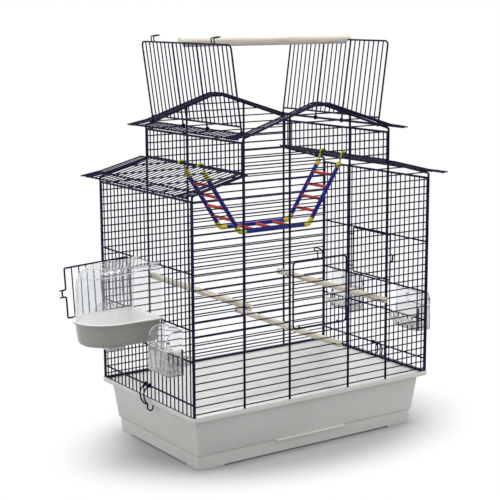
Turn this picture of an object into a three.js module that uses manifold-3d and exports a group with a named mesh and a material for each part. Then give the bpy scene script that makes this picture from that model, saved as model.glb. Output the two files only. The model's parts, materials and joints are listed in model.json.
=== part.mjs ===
// A bird cage: a stepped wire house with a gabled roof of two flap doors, on a deep moulded tray.
// Units are millimetres. X runs along the cage's width, Y from the front to the back, Z up.
// The origin lies on the tray's flat underside, at its middle, and the tray stands on that plane.
import * as THREE from 'three';
import { mergeVertices } from 'three/addons/utils/BufferGeometryUtils.js';
import Module from 'manifold-3d';

const wasm = await Module();
wasm.setup();

// Driving sizes
const BODY_WIDTH = 570;
const PANEL_SPACING = 352;
const TOWER_WIDTH = 348.7;
const PITCH = 14.8;
const POST_R = 1.9;
const CROSS_R = 1.4;
const FINE_R = 0.9;

// Clearances and overlaps that every piece shares
const SEAT = 0.3;
const PASS_GAP = 0.2;
const WELD = 0.3;
const CUT_OVERRUN = 1;
const MERGE_DISTANCE = 1e-4;

// Heights above the plane that the tray stands on
const RIM_TOP_Z = 115.5;
const LEVEL_D_Z = 140.3;
const LEVEL_C_Z = 222.9;
const LEVEL_B_Z = 283.5;
const LEVEL_A_Z = 389.7;
const SIDE_TOP_Z = 523.2;
const TOWER_FOOT_Z = 567.6;
const TOWER_TOP_Z = 623.6;
const BASE_WIRE_Z = RIM_TOP_Z + SEAT + POST_R * Math.cos(Math.PI / 6);

// Lower roofs: from the tower wall down to the kink over the side panel, then a flatter eave
const LOWER_EDGE_GAP = 0.55;
const LOWER_TOP_X = TOWER_WIDTH / 2 + POST_R + CROSS_R + LOWER_EDGE_GAP;
const LOWER_TOP_Z = 566;
const LOWER_KINK_X = 275;
const LOWER_KINK_Z = 539.8;
const LOWER_EAVE_X = 308;
const LOWER_EAVE_Z = 534.6;
const LOWER_TIP_X = 318;
const ROOF_HALF_DEPTH = 196.3;
const BORDER_WIDTH = 24.3;

// Upper roof: two bent strips over the peak, joined by the hinge wires and the eaves
const UPPER_HINGE_X = 164;
const UPPER_HINGE_Z = 639;
const PEAK_HALF_FLAT = 10;
const UPPER_SLOPE = 0.3307;
const PEAK_DROP = 2;
const UPPER_EAVE_X = 198;
const UPPER_EAVE_Z = 633;
const UPPER_TIP_X = 208;
const BORDER_FINE_SHARES = [0.33, 0.67];

// Roof flaps
const FLAP_LENGTH = 165;
const FLAP_HALF_PITCHES = 11;
const FLAP_HEAVY_PITCHES = 3;
const FLAP_LEAN = THREE.MathUtils.degToRad(8);
const FLAP_SILL = 13;
const FLAP_Y = 4;
const FLAP_CORNER_R = 9;
const EYE_R = 3.4;
const LATCH_RISE = 12;
const LATCH_REACH = 15;
const LATCH_WIDTH = 10;
const LATCH_PLACES = [8 * PITCH, -7 * PITCH];

// Wire mesh of the front and back panels
const FIRST_ROW_GAP = 4;
const BAY_LEFT_X = -68.3;
const BAY_RIGHT_X = 76;
const TOWER_STEP = POST_R + FINE_R + PASS_GAP;
const BAY_STEP = TOWER_STEP + 0.5 * (POST_R - CROSS_R) + PASS_GAP;
const WIRE_TIP = 1.5;
const ROW_MIN_HALF = 12;

// Doors
const DOOR_HEEL = 0;
const DOOR_OFFSET = 5.6;
const FRONT_DOOR_OFFSET = 4.2;
const DOOR_CORNER_R = 8;
const DOOR_EYE_R = 2.3;
const DOOR_EYE_SHARE = 0.36;
const FRONT_DOOR_WIDTH = 130;
const FRONT_DOOR_ROW = 9;
const FRONT_DOOR_ROWS = 9;
const SIDE_DOOR_HEIGHT = 99;
const SIDE_DOOR_FINES = 8;
const SIDE_DOORS = [
  { name: 'left', side: -1, hinge: 4, cutPitches: 9, reach: 139 },
  { name: 'right', side: 1, hinge: 5, cutPitches: 8, reach: 126 },
];
const LEFT_DOOR_SAG = THREE.MathUtils.degToRad(3);
const FRONT_LATCH = [[-6, 0], [-6, 14], [-15, 19], [-13, 24], [2, 18], [6, 12], [6, 0]];
const TONGUE_HALF = 7;
const TONGUE_REACH = 8;
const PRONG_LENGTH = 6;

// Side panels and the plane that their cross wires lie in
const SIDE_CROSS_STEP = FINE_R + CROSS_R + PASS_GAP;
const FEEDERS = [
  { name: 'front', pitch: -7, y: -110 },
  { name: 'rear', pitch: 8, y: 115 },
];
const FEEDER_HALF_PITCHES = 2;

// Tray
const TRAY_HALF_X = 290;
const TRAY_HALF_Y = 180;
const TRAY_CORNER_R = 16;
const TRAY_CORNER_STEPS = 4;
const RIM_HEIGHT = 9.5;
const RIM_WIDTH = 12.7;
const RIM_WALL = 2.2;
const TRAY_WALL = 2.6;
const WALL_FOOT_INSET = 22.6;
const STEP_TOP_Z = 32.4;
const STEP_FOOT_Z = 27.6;
const PLINTH_INSET = 25.7;
const BASE_INSET = 27.3;
const RELIEF_HEIGHT = 3;
const RELIEF_HALF_X = 205;
const RELIEF_HALF_Y = 107;
const RELIEF_INSET = 50;
const LIP_LENGTH = 170;
const LIP_DEPTH = 5;
const LIP_THICK = 3;

// Bath: a D-shaped basin with a clear hood on its rim
const BATH_PITCH = -1;
const BATH_CLEAR = SIDE_CROSS_STEP + CROSS_R + SEAT;
const BATH_LENGTH = 160;
const BATH_HALF_WIDTH = 61;
const BATH_END = 66;
const BATH_STEPS = 10;
const BASIN_FOOT_Z = 242;
const BASIN_RIM_Z = 290;
const BASIN_RIM_THICK = 3;
const BASIN_RIM_WIDTH = 4.5;
const BASIN_TAPER = 4;
const BASIN_ROUND = 12;
const BASIN_WALL = 2.2;
const HOOD_WALL = 1.8;
const HOOD_FOOT_INSET = 5.2;
const HOOD_LEVELS = [
  { z: 360, side: 7.5, end: 8 },
  { z: 376, side: 10, end: 16 },
  { z: 386, side: 14, end: 30 },
  { z: 391, side: 22, end: 48 },
];
const TAB_WIDTH = 11;
const TAB_THICK = 2;
const TAB_REACH = 1;
const TAB_LEG_U = 14;
const TAB_HALF_PITCHES = 2.5;

// Feeders: a clear trough with a hinged quarter-round lid outside, a white scoop inside
const TROUGH_WIDTH = 71;
const TROUGH_DEPTH = 40;
const TROUGH_FOOT_Z = 193;
const TROUGH_TOP_Z = 243;
const TROUGH_BACK_Z = 209;
const TROUGH_WALL = 1.8;
const TROUGH_ROUND = 10;
const EAR_TOP_Z = 262;
const EAR_WIDTH = 10;
const LID_PIVOT_U = 37;
const LID_PIVOT_Z = 258.7;
const LID_TOP_Z = 280;
const LID_FRONT_Z = 250;
const LID_CROWN_U = 12;
const SCOOP_WIDTH = 62;
const SCOOP_WALL = 1.8;
const SCOOP_BACK = 1.2;
const SCOOP_REACH = 28;
const SCOOP_FOOT_Z = 207;
const SCOOP_LIP_Z = 227;
const SCOOP_BRIDGE_Z = 224.7;
const SCOOP_HOOK = 4;
const SCOOP_CHEEK_Z = 244;
const SCOOP_NOSE = 7;

// Perches
const PERCH_R = 6.5;
const PERCH_OVERHANG = 10;
const PERCH_SLOT_DEPTH = 14;
const PERCH_SLACK = 0.8;
const TOP_PERCH_R = 9.6;
const TOP_PERCH_OVERHANG = 6;
const TOP_PERCH_SKEW = THREE.MathUtils.degToRad(5.5);
const TOP_PERCH_Y = -8;
const BAR_CLEAR = 0.8;

// Ladder bridge
const LADDER_Y = 2.5;
const LADDER_HALF_WIDTH = 35.5;
const RAIL_R = 3.4;
const RUNG_R = 2.3;
const FITTING_R = 4.4;
const LADDER_ELBOW_X = 86;
const LADDER_ELBOW_Z = 428;
const LADDER_TOP_X = 159;
const LADDER_TOP_Z = 539;
const ELBOW_LEG = 14;
const SOCKET_LENGTH = 13;
const HOOK_WIRE_R = 1.8;
const HOOK_CLEAR = 0.7;
const RUNG_SHARES = [0.14, 0.38, 0.62, 0.86];
const MIDDLE_RUNG_SHARES = [0.2, 0.5, 0.8];

// Tray clips
const CLIP_R = 1.2;
const CLIP_EYE_R = 3.3;
const CLIP_Y = -0.5 * PITCH;
const CLIP_BOW_U = 10;
const CLIP_BOW_DROP = 16;
const CLIP_LEG_U = 7.6;
const CLIP_BAR_DROP = 41;
const CLIP_HOOK_HALF = 4.5;
const CLIP_HOOK_DROP = 47;
const CLIP_HOOK_U = 3.6;

const X_AXIS = new THREE.Vector3(1, 0, 0);
const Y_AXIS = new THREE.Vector3(0, 1, 0);
const QUARTER = Math.PI / 2;

// Wire gauges: the corner of a section points along the plane's normal unless it is a frame wire
const POST = { radius: POST_R, sides: 6, roll: Math.PI / 6 };
const CROSS = { radius: CROSS_R, sides: 4, roll: 0 };
const FRAME = { radius: CROSS_R, sides: 4, roll: Math.PI / 4 };
const FINE = { radius: FINE_R, sides: 3, roll: QUARTER };
const FINE_WELDED = { radius: FINE_R, sides: 4, roll: 0 };
const FINE_TURNED = { radius: FINE_R, sides: 3, roll: -QUARTER };
const EYE_WIRE = { radius: CROSS_R, sides: 4, roll: Math.PI / 4 };
const CLIP = { radius: CLIP_R, sides: 4, roll: Math.PI / 4 };
const FRAME_HALF = CROSS_R * Math.SQRT1_2;

// Materials
const paint = (color, roughness, metalness, opacity = 1) =>
  new THREE.MeshStandardMaterial({ color, roughness, metalness, opacity, transparent: opacity < 1 });
const WIRE_BLUE = paint(0x14103c, 0.35, 0.1);
const TRAY_IVORY = paint(0xd9d8d0, 0.45, 0);
const BATH_WHITE = paint(0xe9e9e6, 0.35, 0);
const CLEAR = paint(0xe4e8ea, 0.08, 0, 0.35);
const PALE_WOOD = paint(0xd9c7a3, 0.7, 0);
const RAIL_BLUE = paint(0x10189a, 0.3, 0);
const RUNG_RED = paint(0xd8311c, 0.35, 0);
const FITTING_YELLOW = paint(0xe3cf22, 0.35, 0);

const at = (x, y, z) => new THREE.Vector3(x, y, z);
const v2 = (x, y) => new THREE.Vector2(x, y);

// A wire swept along straight runs that lie in one plane, mitred at each bend
function wire(points, gauge, normal, closed = false) {
  const count = points.length;
  const heading = (i) => points[(i + 1) % count].clone().sub(points[i % count]).normalize();
  const sideOf = (i) => normal.clone().cross(heading(i));
  const positions = [];
  for (let i = 0; i < count; i++) {
    const before = closed || i > 0 ? sideOf((i + count - 1) % count) : sideOf(i);
    const after = closed || i < count - 1 ? sideOf(i) : before;
    const side = before.clone().add(after).normalize();
    side.divideScalar(side.dot(before));
    for (let j = 0; j < gauge.sides; j++) {
      const turn = gauge.roll + (j * 2 * Math.PI) / gauge.sides;
      const corner = points[i].clone();
      corner.addScaledVector(side, gauge.radius * Math.cos(turn));
      corner.addScaledVector(normal, gauge.radius * Math.sin(turn));
      positions.push(corner.x, corner.y, corner.z);
    }
  }
  return ringGeometry(positions, count, gauge.sides, closed);
}

// Rings of points joined into one closed skin, with flat caps unless it closes on itself
function ringGeometry(positions, rings, sides, closed) {
  const index = [];
  const spans = closed ? rings : rings - 1;
  for (let i = 0; i < spans; i++) {
    const here = i * sides;
    const next = ((i + 1) % rings) * sides;
    for (let j = 0; j < sides; j++) {
      const k = (j + 1) % sides;
      index.push(here + j, here + k, next + j, here + k, next + k, next + j);
    }
  }
  if (!closed) {
    const last = (rings - 1) * sides;
    for (let j = 1; j < sides - 1; j++) {
      index.push(0, j + 1, j, last, last + j, last + j + 1);
    }
  }
  const geometry = new THREE.BufferGeometry();
  geometry.setAttribute('position', new THREE.Float32BufferAttribute(positions, 3));
  geometry.setIndex(index);
  return geometry;
}

// A solid through level outlines of the same number of points, listed upwards
function loft(levels) {
  const positions = [];
  for (const level of levels) {
    for (const point of level.outline) positions.push(point.x, point.y, level.z);
  }
  return ringGeometry(positions, levels.length, levels[0].outline.length, false);
}

// A profile of distance and height, extruded across the given width and centred on it
function extruded(profile, width) {
  const plain = { depth: width, bevelEnabled: false };
  const geometry = new THREE.ExtrudeGeometry(new THREE.Shape(profile), plain);
  geometry.rotateX(QUARTER);
  return geometry.translate(0, width / 2, 0);
}

function box(sizeX, sizeY, sizeZ, centre) {
  return new THREE.BoxGeometry(sizeX, sizeY, sizeZ).translate(centre.x, centre.y, centre.z);
}

function solid(geometry) {
  const bare = geometry.index ? geometry.toNonIndexed() : geometry.clone();
  bare.deleteAttribute('normal');
  bare.deleteAttribute('uv');
  const merged = mergeVertices(bare, MERGE_DISTANCE);
  const vertProperties = merged.attributes.position.array;
  const triVerts = new Uint32Array(merged.index.array);
  return new wasm.Manifold(new wasm.Mesh({ numProp: 3, vertProperties, triVerts }));
}

const weld = (geometries) => wasm.Manifold.union(geometries.map(solid));

function mesh(name, made, material) {
  const { vertProperties, triVerts, numProp } = made.getMesh();
  const indexed = new THREE.BufferGeometry();
  const points = new THREE.InterleavedBuffer(vertProperties, numProp);
  indexed.setAttribute('position', new THREE.InterleavedBufferAttribute(points, 3, 0));
  indexed.setIndex(new THREE.BufferAttribute(triVerts, 1));
  const geometry = indexed.toNonIndexed();
  geometry.computeVertexNormals();
  const part = new THREE.Mesh(geometry, material);
  part.name = name;
  return part;
}

function group(position, rotationZ, ...children) {
  const made = new THREE.Group();
  made.position.copy(position);
  made.rotation.z = rotationZ;
  made.add(...children);
  return made;
}

// Outlines
function roundedRectangle(halfX, halfY, radius, steps) {
  const points = [];
  const centres = [[1, 1], [-1, 1], [-1, -1], [1, -1]];
  centres.forEach(([sx, sy], quarter) => {
    for (let i = 0; i <= steps; i++) {
      const turn = QUARTER * (quarter + i / steps);
      const x = sx * (halfX - radius) + radius * Math.cos(turn);
      const y = sy * (halfY - radius) + radius * Math.sin(turn);
      points.push(new THREE.Vector2(x, y));
    }
  });
  return points;
}

// A D-shaped outline: a flat side at the given distance, straight sides and a half-oval end
function dOutline(flat, length, halfWidth, end, steps) {
  const points = [new THREE.Vector2(flat, -halfWidth)];
  for (let i = 0; i <= steps; i++) {
    const turn = -QUARTER + (i * Math.PI) / steps;
    points.push(new THREE.Vector2(length - end + end * Math.cos(turn), halfWidth * Math.sin(turn)));
  }
  points.push(new THREE.Vector2(flat, halfWidth));
  return points;
}

// A loop of wire points round a rectangle with rounded corners, in the plane that `place` maps to
function roundedLoop(fromU, toU, fromV, toV, radius, steps, place) {
  const halfU = (toU - fromU) / 2;
  const halfV = (toV - fromV) / 2;
  const outline = roundedRectangle(halfU, halfV, radius, steps);
  return outline.map((p) => place(fromU + halfU + p.x, fromV + halfV + p.y));
}

// Front and back panels
// The rows of fine wire and the outer posts share one plane. The tower's bent wire and the
// two bay uprights stand in front of it.
const HALF_BODY = BODY_WIDTH / 2;
const HALF_TOWER = TOWER_WIDTH / 2;
const SHOULDER_DROP = POST_R + SEAT + CROSS_R;
const LOWER_SLOPE = (LOWER_TOP_Z - LOWER_KINK_Z) / (LOWER_KINK_X - LOWER_TOP_X);
const SHOULDER_KINK_Z = LOWER_KINK_Z - SHOULDER_DROP * Math.hypot(1, LOWER_SLOPE);
const RAFTER_HINGE_Z = UPPER_HINGE_Z - SHOULDER_DROP * Math.hypot(1, UPPER_SLOPE);
const shoulderZ = (x) => SHOULDER_KINK_Z - LOWER_SLOPE * (x - LOWER_KINK_X);
const rafterZ = (x) => RAFTER_HINGE_Z - UPPER_SLOPE * (x - UPPER_HINGE_X);
const rowZ = (k) => BASE_WIRE_Z + FIRST_ROW_GAP + k * PITCH;

function rowHalfWidth(z) {
  if (z < shoulderZ(HALF_BODY)) return HALF_BODY;
  const shoulderX = LOWER_KINK_X + (shoulderZ(LOWER_KINK_X) - z) / LOWER_SLOPE;
  if (shoulderX > HALF_TOWER + POST_R) return shoulderX;
  if (z < rafterZ(HALF_TOWER)) return HALF_TOWER + WIRE_TIP;
  const rafterX = UPPER_HINGE_X + (rafterZ(UPPER_HINGE_X) - z) / UPPER_SLOPE;
  return rafterX + WIRE_TIP / UPPER_SLOPE;
}

function housePanel(withDoorway) {
  const wires = [];
  const cornerZ = shoulderZ(HALF_BODY);
  const joinX = HALF_TOWER - WIRE_TIP;
  const outline = [
    at(-joinX, 0, shoulderZ(joinX)),
    at(-HALF_BODY, 0, cornerZ),
    at(-HALF_BODY, 0, BASE_WIRE_Z),
    at(HALF_BODY, 0, BASE_WIRE_Z),
    at(HALF_BODY, 0, cornerZ),
    at(joinX, 0, shoulderZ(joinX)),
  ];
  wires.push(wire(outline, POST, Y_AXIS));
  const footZ = BASE_WIRE_Z - WIRE_TIP;
  const tower = [
    at(-HALF_TOWER, -TOWER_STEP, footZ),
    at(-HALF_TOWER, -TOWER_STEP, rafterZ(HALF_TOWER)),
    at(-PEAK_HALF_FLAT, -TOWER_STEP, rafterZ(PEAK_HALF_FLAT)),
    at(PEAK_HALF_FLAT, -TOWER_STEP, rafterZ(PEAK_HALF_FLAT)),
    at(HALF_TOWER, -TOWER_STEP, rafterZ(HALF_TOWER)),
    at(HALF_TOWER, -TOWER_STEP, footZ),
  ];
  wires.push(wire(tower, POST, Y_AXIS));
  for (const x of [BAY_LEFT_X, BAY_RIGHT_X]) {
    const top = rafterZ(Math.abs(x));
    wires.push(wire([at(x, -BAY_STEP, footZ), at(x, -BAY_STEP, top)], POST, Y_AXIS));
  }
  for (let k = 0; rowZ(k) < rafterZ(PEAK_HALF_FLAT); k++) {
    const z = rowZ(k);
    const half = rowHalfWidth(z);
    if (half < ROW_MIN_HALF) continue;
    const inTower = half < HALF_TOWER + POST_R;
    const y = inTower ? -TOWER_STEP + POST_R + FINE_R - WELD : 0;
    const cut = withDoorway && k > FRONT_DOOR_ROW && k < FRONT_DOOR_ROW + FRONT_DOOR_ROWS;
    const spans = cut ? [[-half, BAY_LEFT_X], [BAY_RIGHT_X, half]] : [[-half, half]];
    for (const [from, to] of spans) wires.push(wire([at(from, y, z), at(to, y, z)], FINE_TURNED, Y_AXIS));
  }
  return weld(wires);
}

// Side panels: `side` is -1 on the left and 1 on the right, and the cross wires face outwards
const HALF_SPACING = PANEL_SPACING / 2;
const SIDE_END_Y = HALF_SPACING - POST_R - SEAT;
const END_WIRE_Y = SIDE_END_Y - CROSS_R;
const SIDE_FINES = Math.floor((END_WIRE_Y - 2 * CROSS_R) / PITCH);

function uprightSpans(k, hinge, cutPitches) {
  const byDoor = k < hinge && k > hinge - cutPitches;
  const byFeeder = FEEDERS.some((feeder) => Math.abs(k - feeder.pitch) <= FEEDER_HALF_PITCHES);
  const spans = [];
  let from = BASE_WIRE_Z;
  if (byFeeder) {
    spans.push([from, LEVEL_C_Z + WIRE_TIP]);
    from = LEVEL_B_Z - WIRE_TIP;
  }
  if (byDoor) {
    if (!byFeeder) spans.push([from, LEVEL_B_Z + WIRE_TIP]);
    from = LEVEL_A_Z - WIRE_TIP;
  }
  spans.push([from, SIDE_TOP_Z]);
  return spans;
}

function sidePanel(side, hinge, cutPitches) {
  const wires = [];
  const out = side * SIDE_CROSS_STEP;
  const gauge = side < 0 ? FINE_TURNED : FINE;
  for (const z of [BASE_WIRE_Z, SIDE_TOP_Z]) {
    wires.push(wire([at(0, -SIDE_END_Y, z), at(0, SIDE_END_Y, z)], POST, X_AXIS));
  }
  for (const y of [-END_WIRE_Y, END_WIRE_Y]) {
    wires.push(wire([at(0, y, BASE_WIRE_Z), at(0, y, SIDE_TOP_Z)], CROSS, X_AXIS));
  }
  for (let k = -SIDE_FINES; k <= SIDE_FINES; k++) {
    for (const [from, to] of uprightSpans(k, hinge, cutPitches)) {
      wires.push(wire([at(0, k * PITCH, from), at(0, k * PITCH, to)], gauge, X_AXIS));
    }
  }
  for (const z of [LEVEL_A_Z, LEVEL_B_Z, LEVEL_C_Z, LEVEL_D_Z]) {
    wires.push(wire([at(out, -SIDE_END_Y, z), at(out, SIDE_END_Y, z)], CROSS, X_AXIS));
  }
  return weld(wires);
}

function towerSide() {
  const wires = [];
  const endY = HALF_SPACING + TOWER_STEP - POST_R - FINE_R + WELD - FINE_R / 2 - SEAT;
  const lastY = endY - CROSS_R;
  for (const z of [TOWER_FOOT_Z, TOWER_TOP_Z]) {
    wires.push(wire([at(0, -endY, z), at(0, endY, z)], POST, X_AXIS));
  }
  for (const y of [-lastY, lastY]) {
    wires.push(wire([at(0, y, TOWER_FOOT_Z), at(0, y, TOWER_TOP_Z)], CROSS, X_AXIS));
  }
  for (let k = -SIDE_FINES; k <= SIDE_FINES; k++) {
    wires.push(wire([at(0, k * PITCH, TOWER_FOOT_Z), at(0, k * PITCH, TOWER_TOP_Z)], FINE, X_AXIS));
  }
  return weld(wires);
}

// Lower roofs: bent wires laid over three long wires
const OVER_KINK = FINE_R + CROSS_R + PASS_GAP;
const OVER_EAVE = 2 * CROSS_R - WELD;
const BORDER_INNER_Y = ROOF_HALF_DEPTH - BORDER_WIDTH;
const ROOF_FINES = Math.floor((BORDER_INNER_Y - CROSS_R) / PITCH);

function alongY(x, z, halfDepth, gauge) {
  return wire([at(x, -halfDepth, z), at(x, halfDepth, z)], gauge, X_AXIS);
}

function lowerRoof(side) {
  const wires = [];
  const halfDepth = ROOF_HALF_DEPTH + WIRE_TIP;
  wires.push(alongY(side * LOWER_TOP_X, LOWER_TOP_Z, halfDepth, FRAME));
  wires.push(alongY(side * LOWER_KINK_X, LOWER_KINK_Z, halfDepth, CROSS));
  wires.push(alongY(side * LOWER_EAVE_X, LOWER_EAVE_Z, halfDepth, CROSS));
  const eaveSlope = (LOWER_KINK_Z + OVER_KINK - LOWER_EAVE_Z - OVER_EAVE) / (LOWER_EAVE_X - LOWER_KINK_X);
  const tipZ = LOWER_EAVE_Z + OVER_EAVE - eaveSlope * (LOWER_TIP_X - LOWER_EAVE_X);
  const slopeWire = (y, gauge) => wire([
    at(side * LOWER_TOP_X, y, LOWER_TOP_Z),
    at(side * LOWER_KINK_X, y, LOWER_KINK_Z + OVER_KINK),
    at(side * LOWER_TIP_X, y, tipZ),
  ], gauge, Y_AXIS);
  for (const y of [-ROOF_HALF_DEPTH, -BORDER_INNER_Y, BORDER_INNER_Y, ROOF_HALF_DEPTH]) {
    wires.push(slopeWire(y, CROSS));
  }
  const borderMiddle = (ROOF_HALF_DEPTH + BORDER_INNER_Y) / 2;
  for (const y of [-borderMiddle, borderMiddle]) wires.push(slopeWire(y, FINE));
  for (let k = -ROOF_FINES; k <= ROOF_FINES; k++) wires.push(slopeWire(k * PITCH, FINE));
  return weld(wires);
}

// Upper roof frame
const EAVE_SLOPE = (UPPER_HINGE_Z + FRAME_HALF - UPPER_EAVE_Z - CROSS_R) / (UPPER_EAVE_X - UPPER_HINGE_X);
const UPPER_TIP_Z = UPPER_EAVE_Z + OVER_EAVE - EAVE_SLOPE * (UPPER_TIP_X - UPPER_EAVE_X);

function upperRoof() {
  const wires = [];
  const halfDepth = ROOF_HALF_DEPTH + WIRE_TIP;
  for (const side of [-1, 1]) {
    wires.push(alongY(side * UPPER_HINGE_X, UPPER_HINGE_Z, halfDepth, FRAME));
    wires.push(alongY(side * UPPER_EAVE_X, UPPER_EAVE_Z, halfDepth, CROSS));
    for (let k = 0.5 - FLAP_HALF_PITCHES; k < FLAP_HALF_PITCHES; k++) {
      const y = k * PITCH;
      const run = [at(side * UPPER_HINGE_X, y, UPPER_HINGE_Z), at(side * UPPER_TIP_X, y, UPPER_TIP_Z)];
      wires.push(wire(run, FINE, Y_AXIS));
    }
  }
  const bent = (y, gauge) => {
    const hingeZ = UPPER_HINGE_Z + FRAME_HALF + gauge.radius - WELD;
    const eaveZ = UPPER_EAVE_Z + CROSS_R + gauge.radius - WELD;
    const tipZ = eaveZ - EAVE_SLOPE * (UPPER_TIP_X - UPPER_EAVE_X);
    const peakZ = hingeZ + UPPER_SLOPE * (UPPER_HINGE_X - PEAK_HALF_FLAT) - PEAK_DROP;
    return wire([
      at(-UPPER_TIP_X, y, tipZ),
      at(-UPPER_HINGE_X, y, hingeZ),
      at(-PEAK_HALF_FLAT, y, peakZ),
      at(PEAK_HALF_FLAT, y, peakZ),
      at(UPPER_HINGE_X, y, hingeZ),
      at(UPPER_TIP_X, y, tipZ),
    ], gauge, Y_AXIS);
  };
  for (const sign of [-1, 1]) {
    wires.push(bent(sign * ROOF_HALF_DEPTH, CROSS), bent(sign * BORDER_INNER_Y, CROSS));
    for (const share of BORDER_FINE_SHARES) {
      wires.push(bent(sign * (BORDER_INNER_Y + share * BORDER_WIDTH), FINE_WELDED));
    }
  }
  return weld(wires);
}

// A closed ring of wire round an axis through `centre`
function eye(centre, radius, gauge, axis) {
  const points = [];
  const steps = 6;
  for (let i = 0; i < steps; i++) {
    const turn = ((i + 0.5) * 2 * Math.PI) / steps;
    const c = radius * Math.cos(turn);
    const s = radius * Math.sin(turn);
    const step = axis === X_AXIS ? at(0, c, s) : at(s, 0, c);
    points.push(centre.clone().add(step));
  }
  return wire(points, gauge, axis, true);
}

// A roof flap in its own frame: hinge along Y through the origin, the flap standing up along Z
function flap(latchSide) {
  const wires = [];
  const half = FLAP_HALF_PITCHES * PITCH;
  const start = EYE_R;
  const corner = (sign) => {
    const points = [];
    for (let i = 0; i <= 3; i++) {
      const turn = (i * QUARTER) / 3;
      const y = half - FLAP_CORNER_R + FLAP_CORNER_R * Math.cos(turn);
      points.push(at(0, sign * y, FLAP_LENGTH - FLAP_CORNER_R + FLAP_CORNER_R * Math.sin(turn)));
    }
    return points;
  };
  const path = [at(0, half, start), ...corner(1), ...corner(-1).reverse(), at(0, -half, start)];
  wires.push(wire(path, FRAME, X_AXIS));
  wires.push(wire([at(0, -half, FLAP_SILL), at(0, half, FLAP_SILL)], FRAME, X_AXIS));
  for (let k = 1 - FLAP_HALF_PITCHES; k < FLAP_HALF_PITCHES; k++) {
    const heavy = Math.abs(k) === FLAP_HEAVY_PITCHES;
    const from = heavy ? start : FLAP_SILL;
    wires.push(wire([at(0, k * PITCH, from), at(0, k * PITCH, FLAP_LENGTH)], heavy ? FRAME : FINE, X_AXIS));
  }
  for (const k of [-FLAP_HALF_PITCHES, -FLAP_HEAVY_PITCHES, FLAP_HEAVY_PITCHES, FLAP_HALF_PITCHES]) {
    wires.push(eye(at(0, k * PITCH, 0), EYE_R, EYE_WIRE, Y_AXIS));
  }
  if (latchSide) {
    for (const y of LATCH_PLACES) wires.push(...flapLatch(y, latchSide));
  }
  return weld(wires);
}

// Two risers from the top bar, bent over towards the other flap and joined at their tip
function flapLatch(y, inward) {
  const wires = [];
  const riseZ = FLAP_LENGTH + LATCH_RISE;
  for (const dy of [-LATCH_WIDTH / 2, LATCH_WIDTH / 2]) {
    const run = [at(0, y + dy, FLAP_LENGTH), at(0, y + dy, riseZ), at(inward * LATCH_REACH, y + dy, riseZ)];
    wires.push(wire(run, FINE, Y_AXIS));
  }
  const tip = inward * LATCH_REACH;
  const tipHalf = LATCH_WIDTH / 2 + FINE_R;
  wires.push(wire([at(tip, y - tipHalf, riseZ), at(tip, y + tipHalf, riseZ)], FINE, X_AXIS));
  return wires;
}

// A small wire door in its own frame: hinge along X through the origin, the door up along Z,
// its outer face towards -Y
function door(length, reach, offset, fines, tongued, sag) {
  const wires = [];
  const half = length / 2;
  const place = (u, v) => at(u, -offset, v);
  const corners = roundedLoop(-half, half, DOOR_HEEL, reach, DOOR_CORNER_R, 3, place);
  if (tongued) {
    const tip = reach + TONGUE_REACH;
    const tongue = [
      place(TONGUE_HALF, reach), place(TONGUE_HALF, tip),
      place(-TONGUE_HALF, tip), place(-TONGUE_HALF, reach),
    ];
    corners.splice(4, 0, ...tongue);
    for (const u of [-TONGUE_HALF, TONGUE_HALF]) {
      wires.push(wire([place(u, tip), place(u, tip + PRONG_LENGTH)], FINE, Y_AXIS));
    }
  } else {
    wires.push(wire(FRONT_LATCH.map(([u, v]) => place(u, reach + v)), FINE, Y_AXIS));
  }
  wires.push(wire(corners.reverse(), FRAME, Y_AXIS, true));
  for (let i = 1; i <= fines; i++) {
    const z = DOOR_HEEL + (i * (reach - DOOR_HEEL)) / (fines + 1);
    wires.push(wire([at(-half, -offset, z), at(half, -offset, z)], FINE, Y_AXIS));
  }
  for (const x of [-half * 2 * DOOR_EYE_SHARE, half * 2 * DOOR_EYE_SHARE]) {
    const eyeZ = x * Math.tan(sag);
    wires.push(eye(at(x, 0, eyeZ), DOOR_EYE_R, FINE, X_AXIS));
    wires.push(wire([at(x, -DOOR_EYE_R, eyeZ), at(x, -offset, DOOR_HEEL)], FINE, X_AXIS));
  }
  return weld(wires);
}

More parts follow.
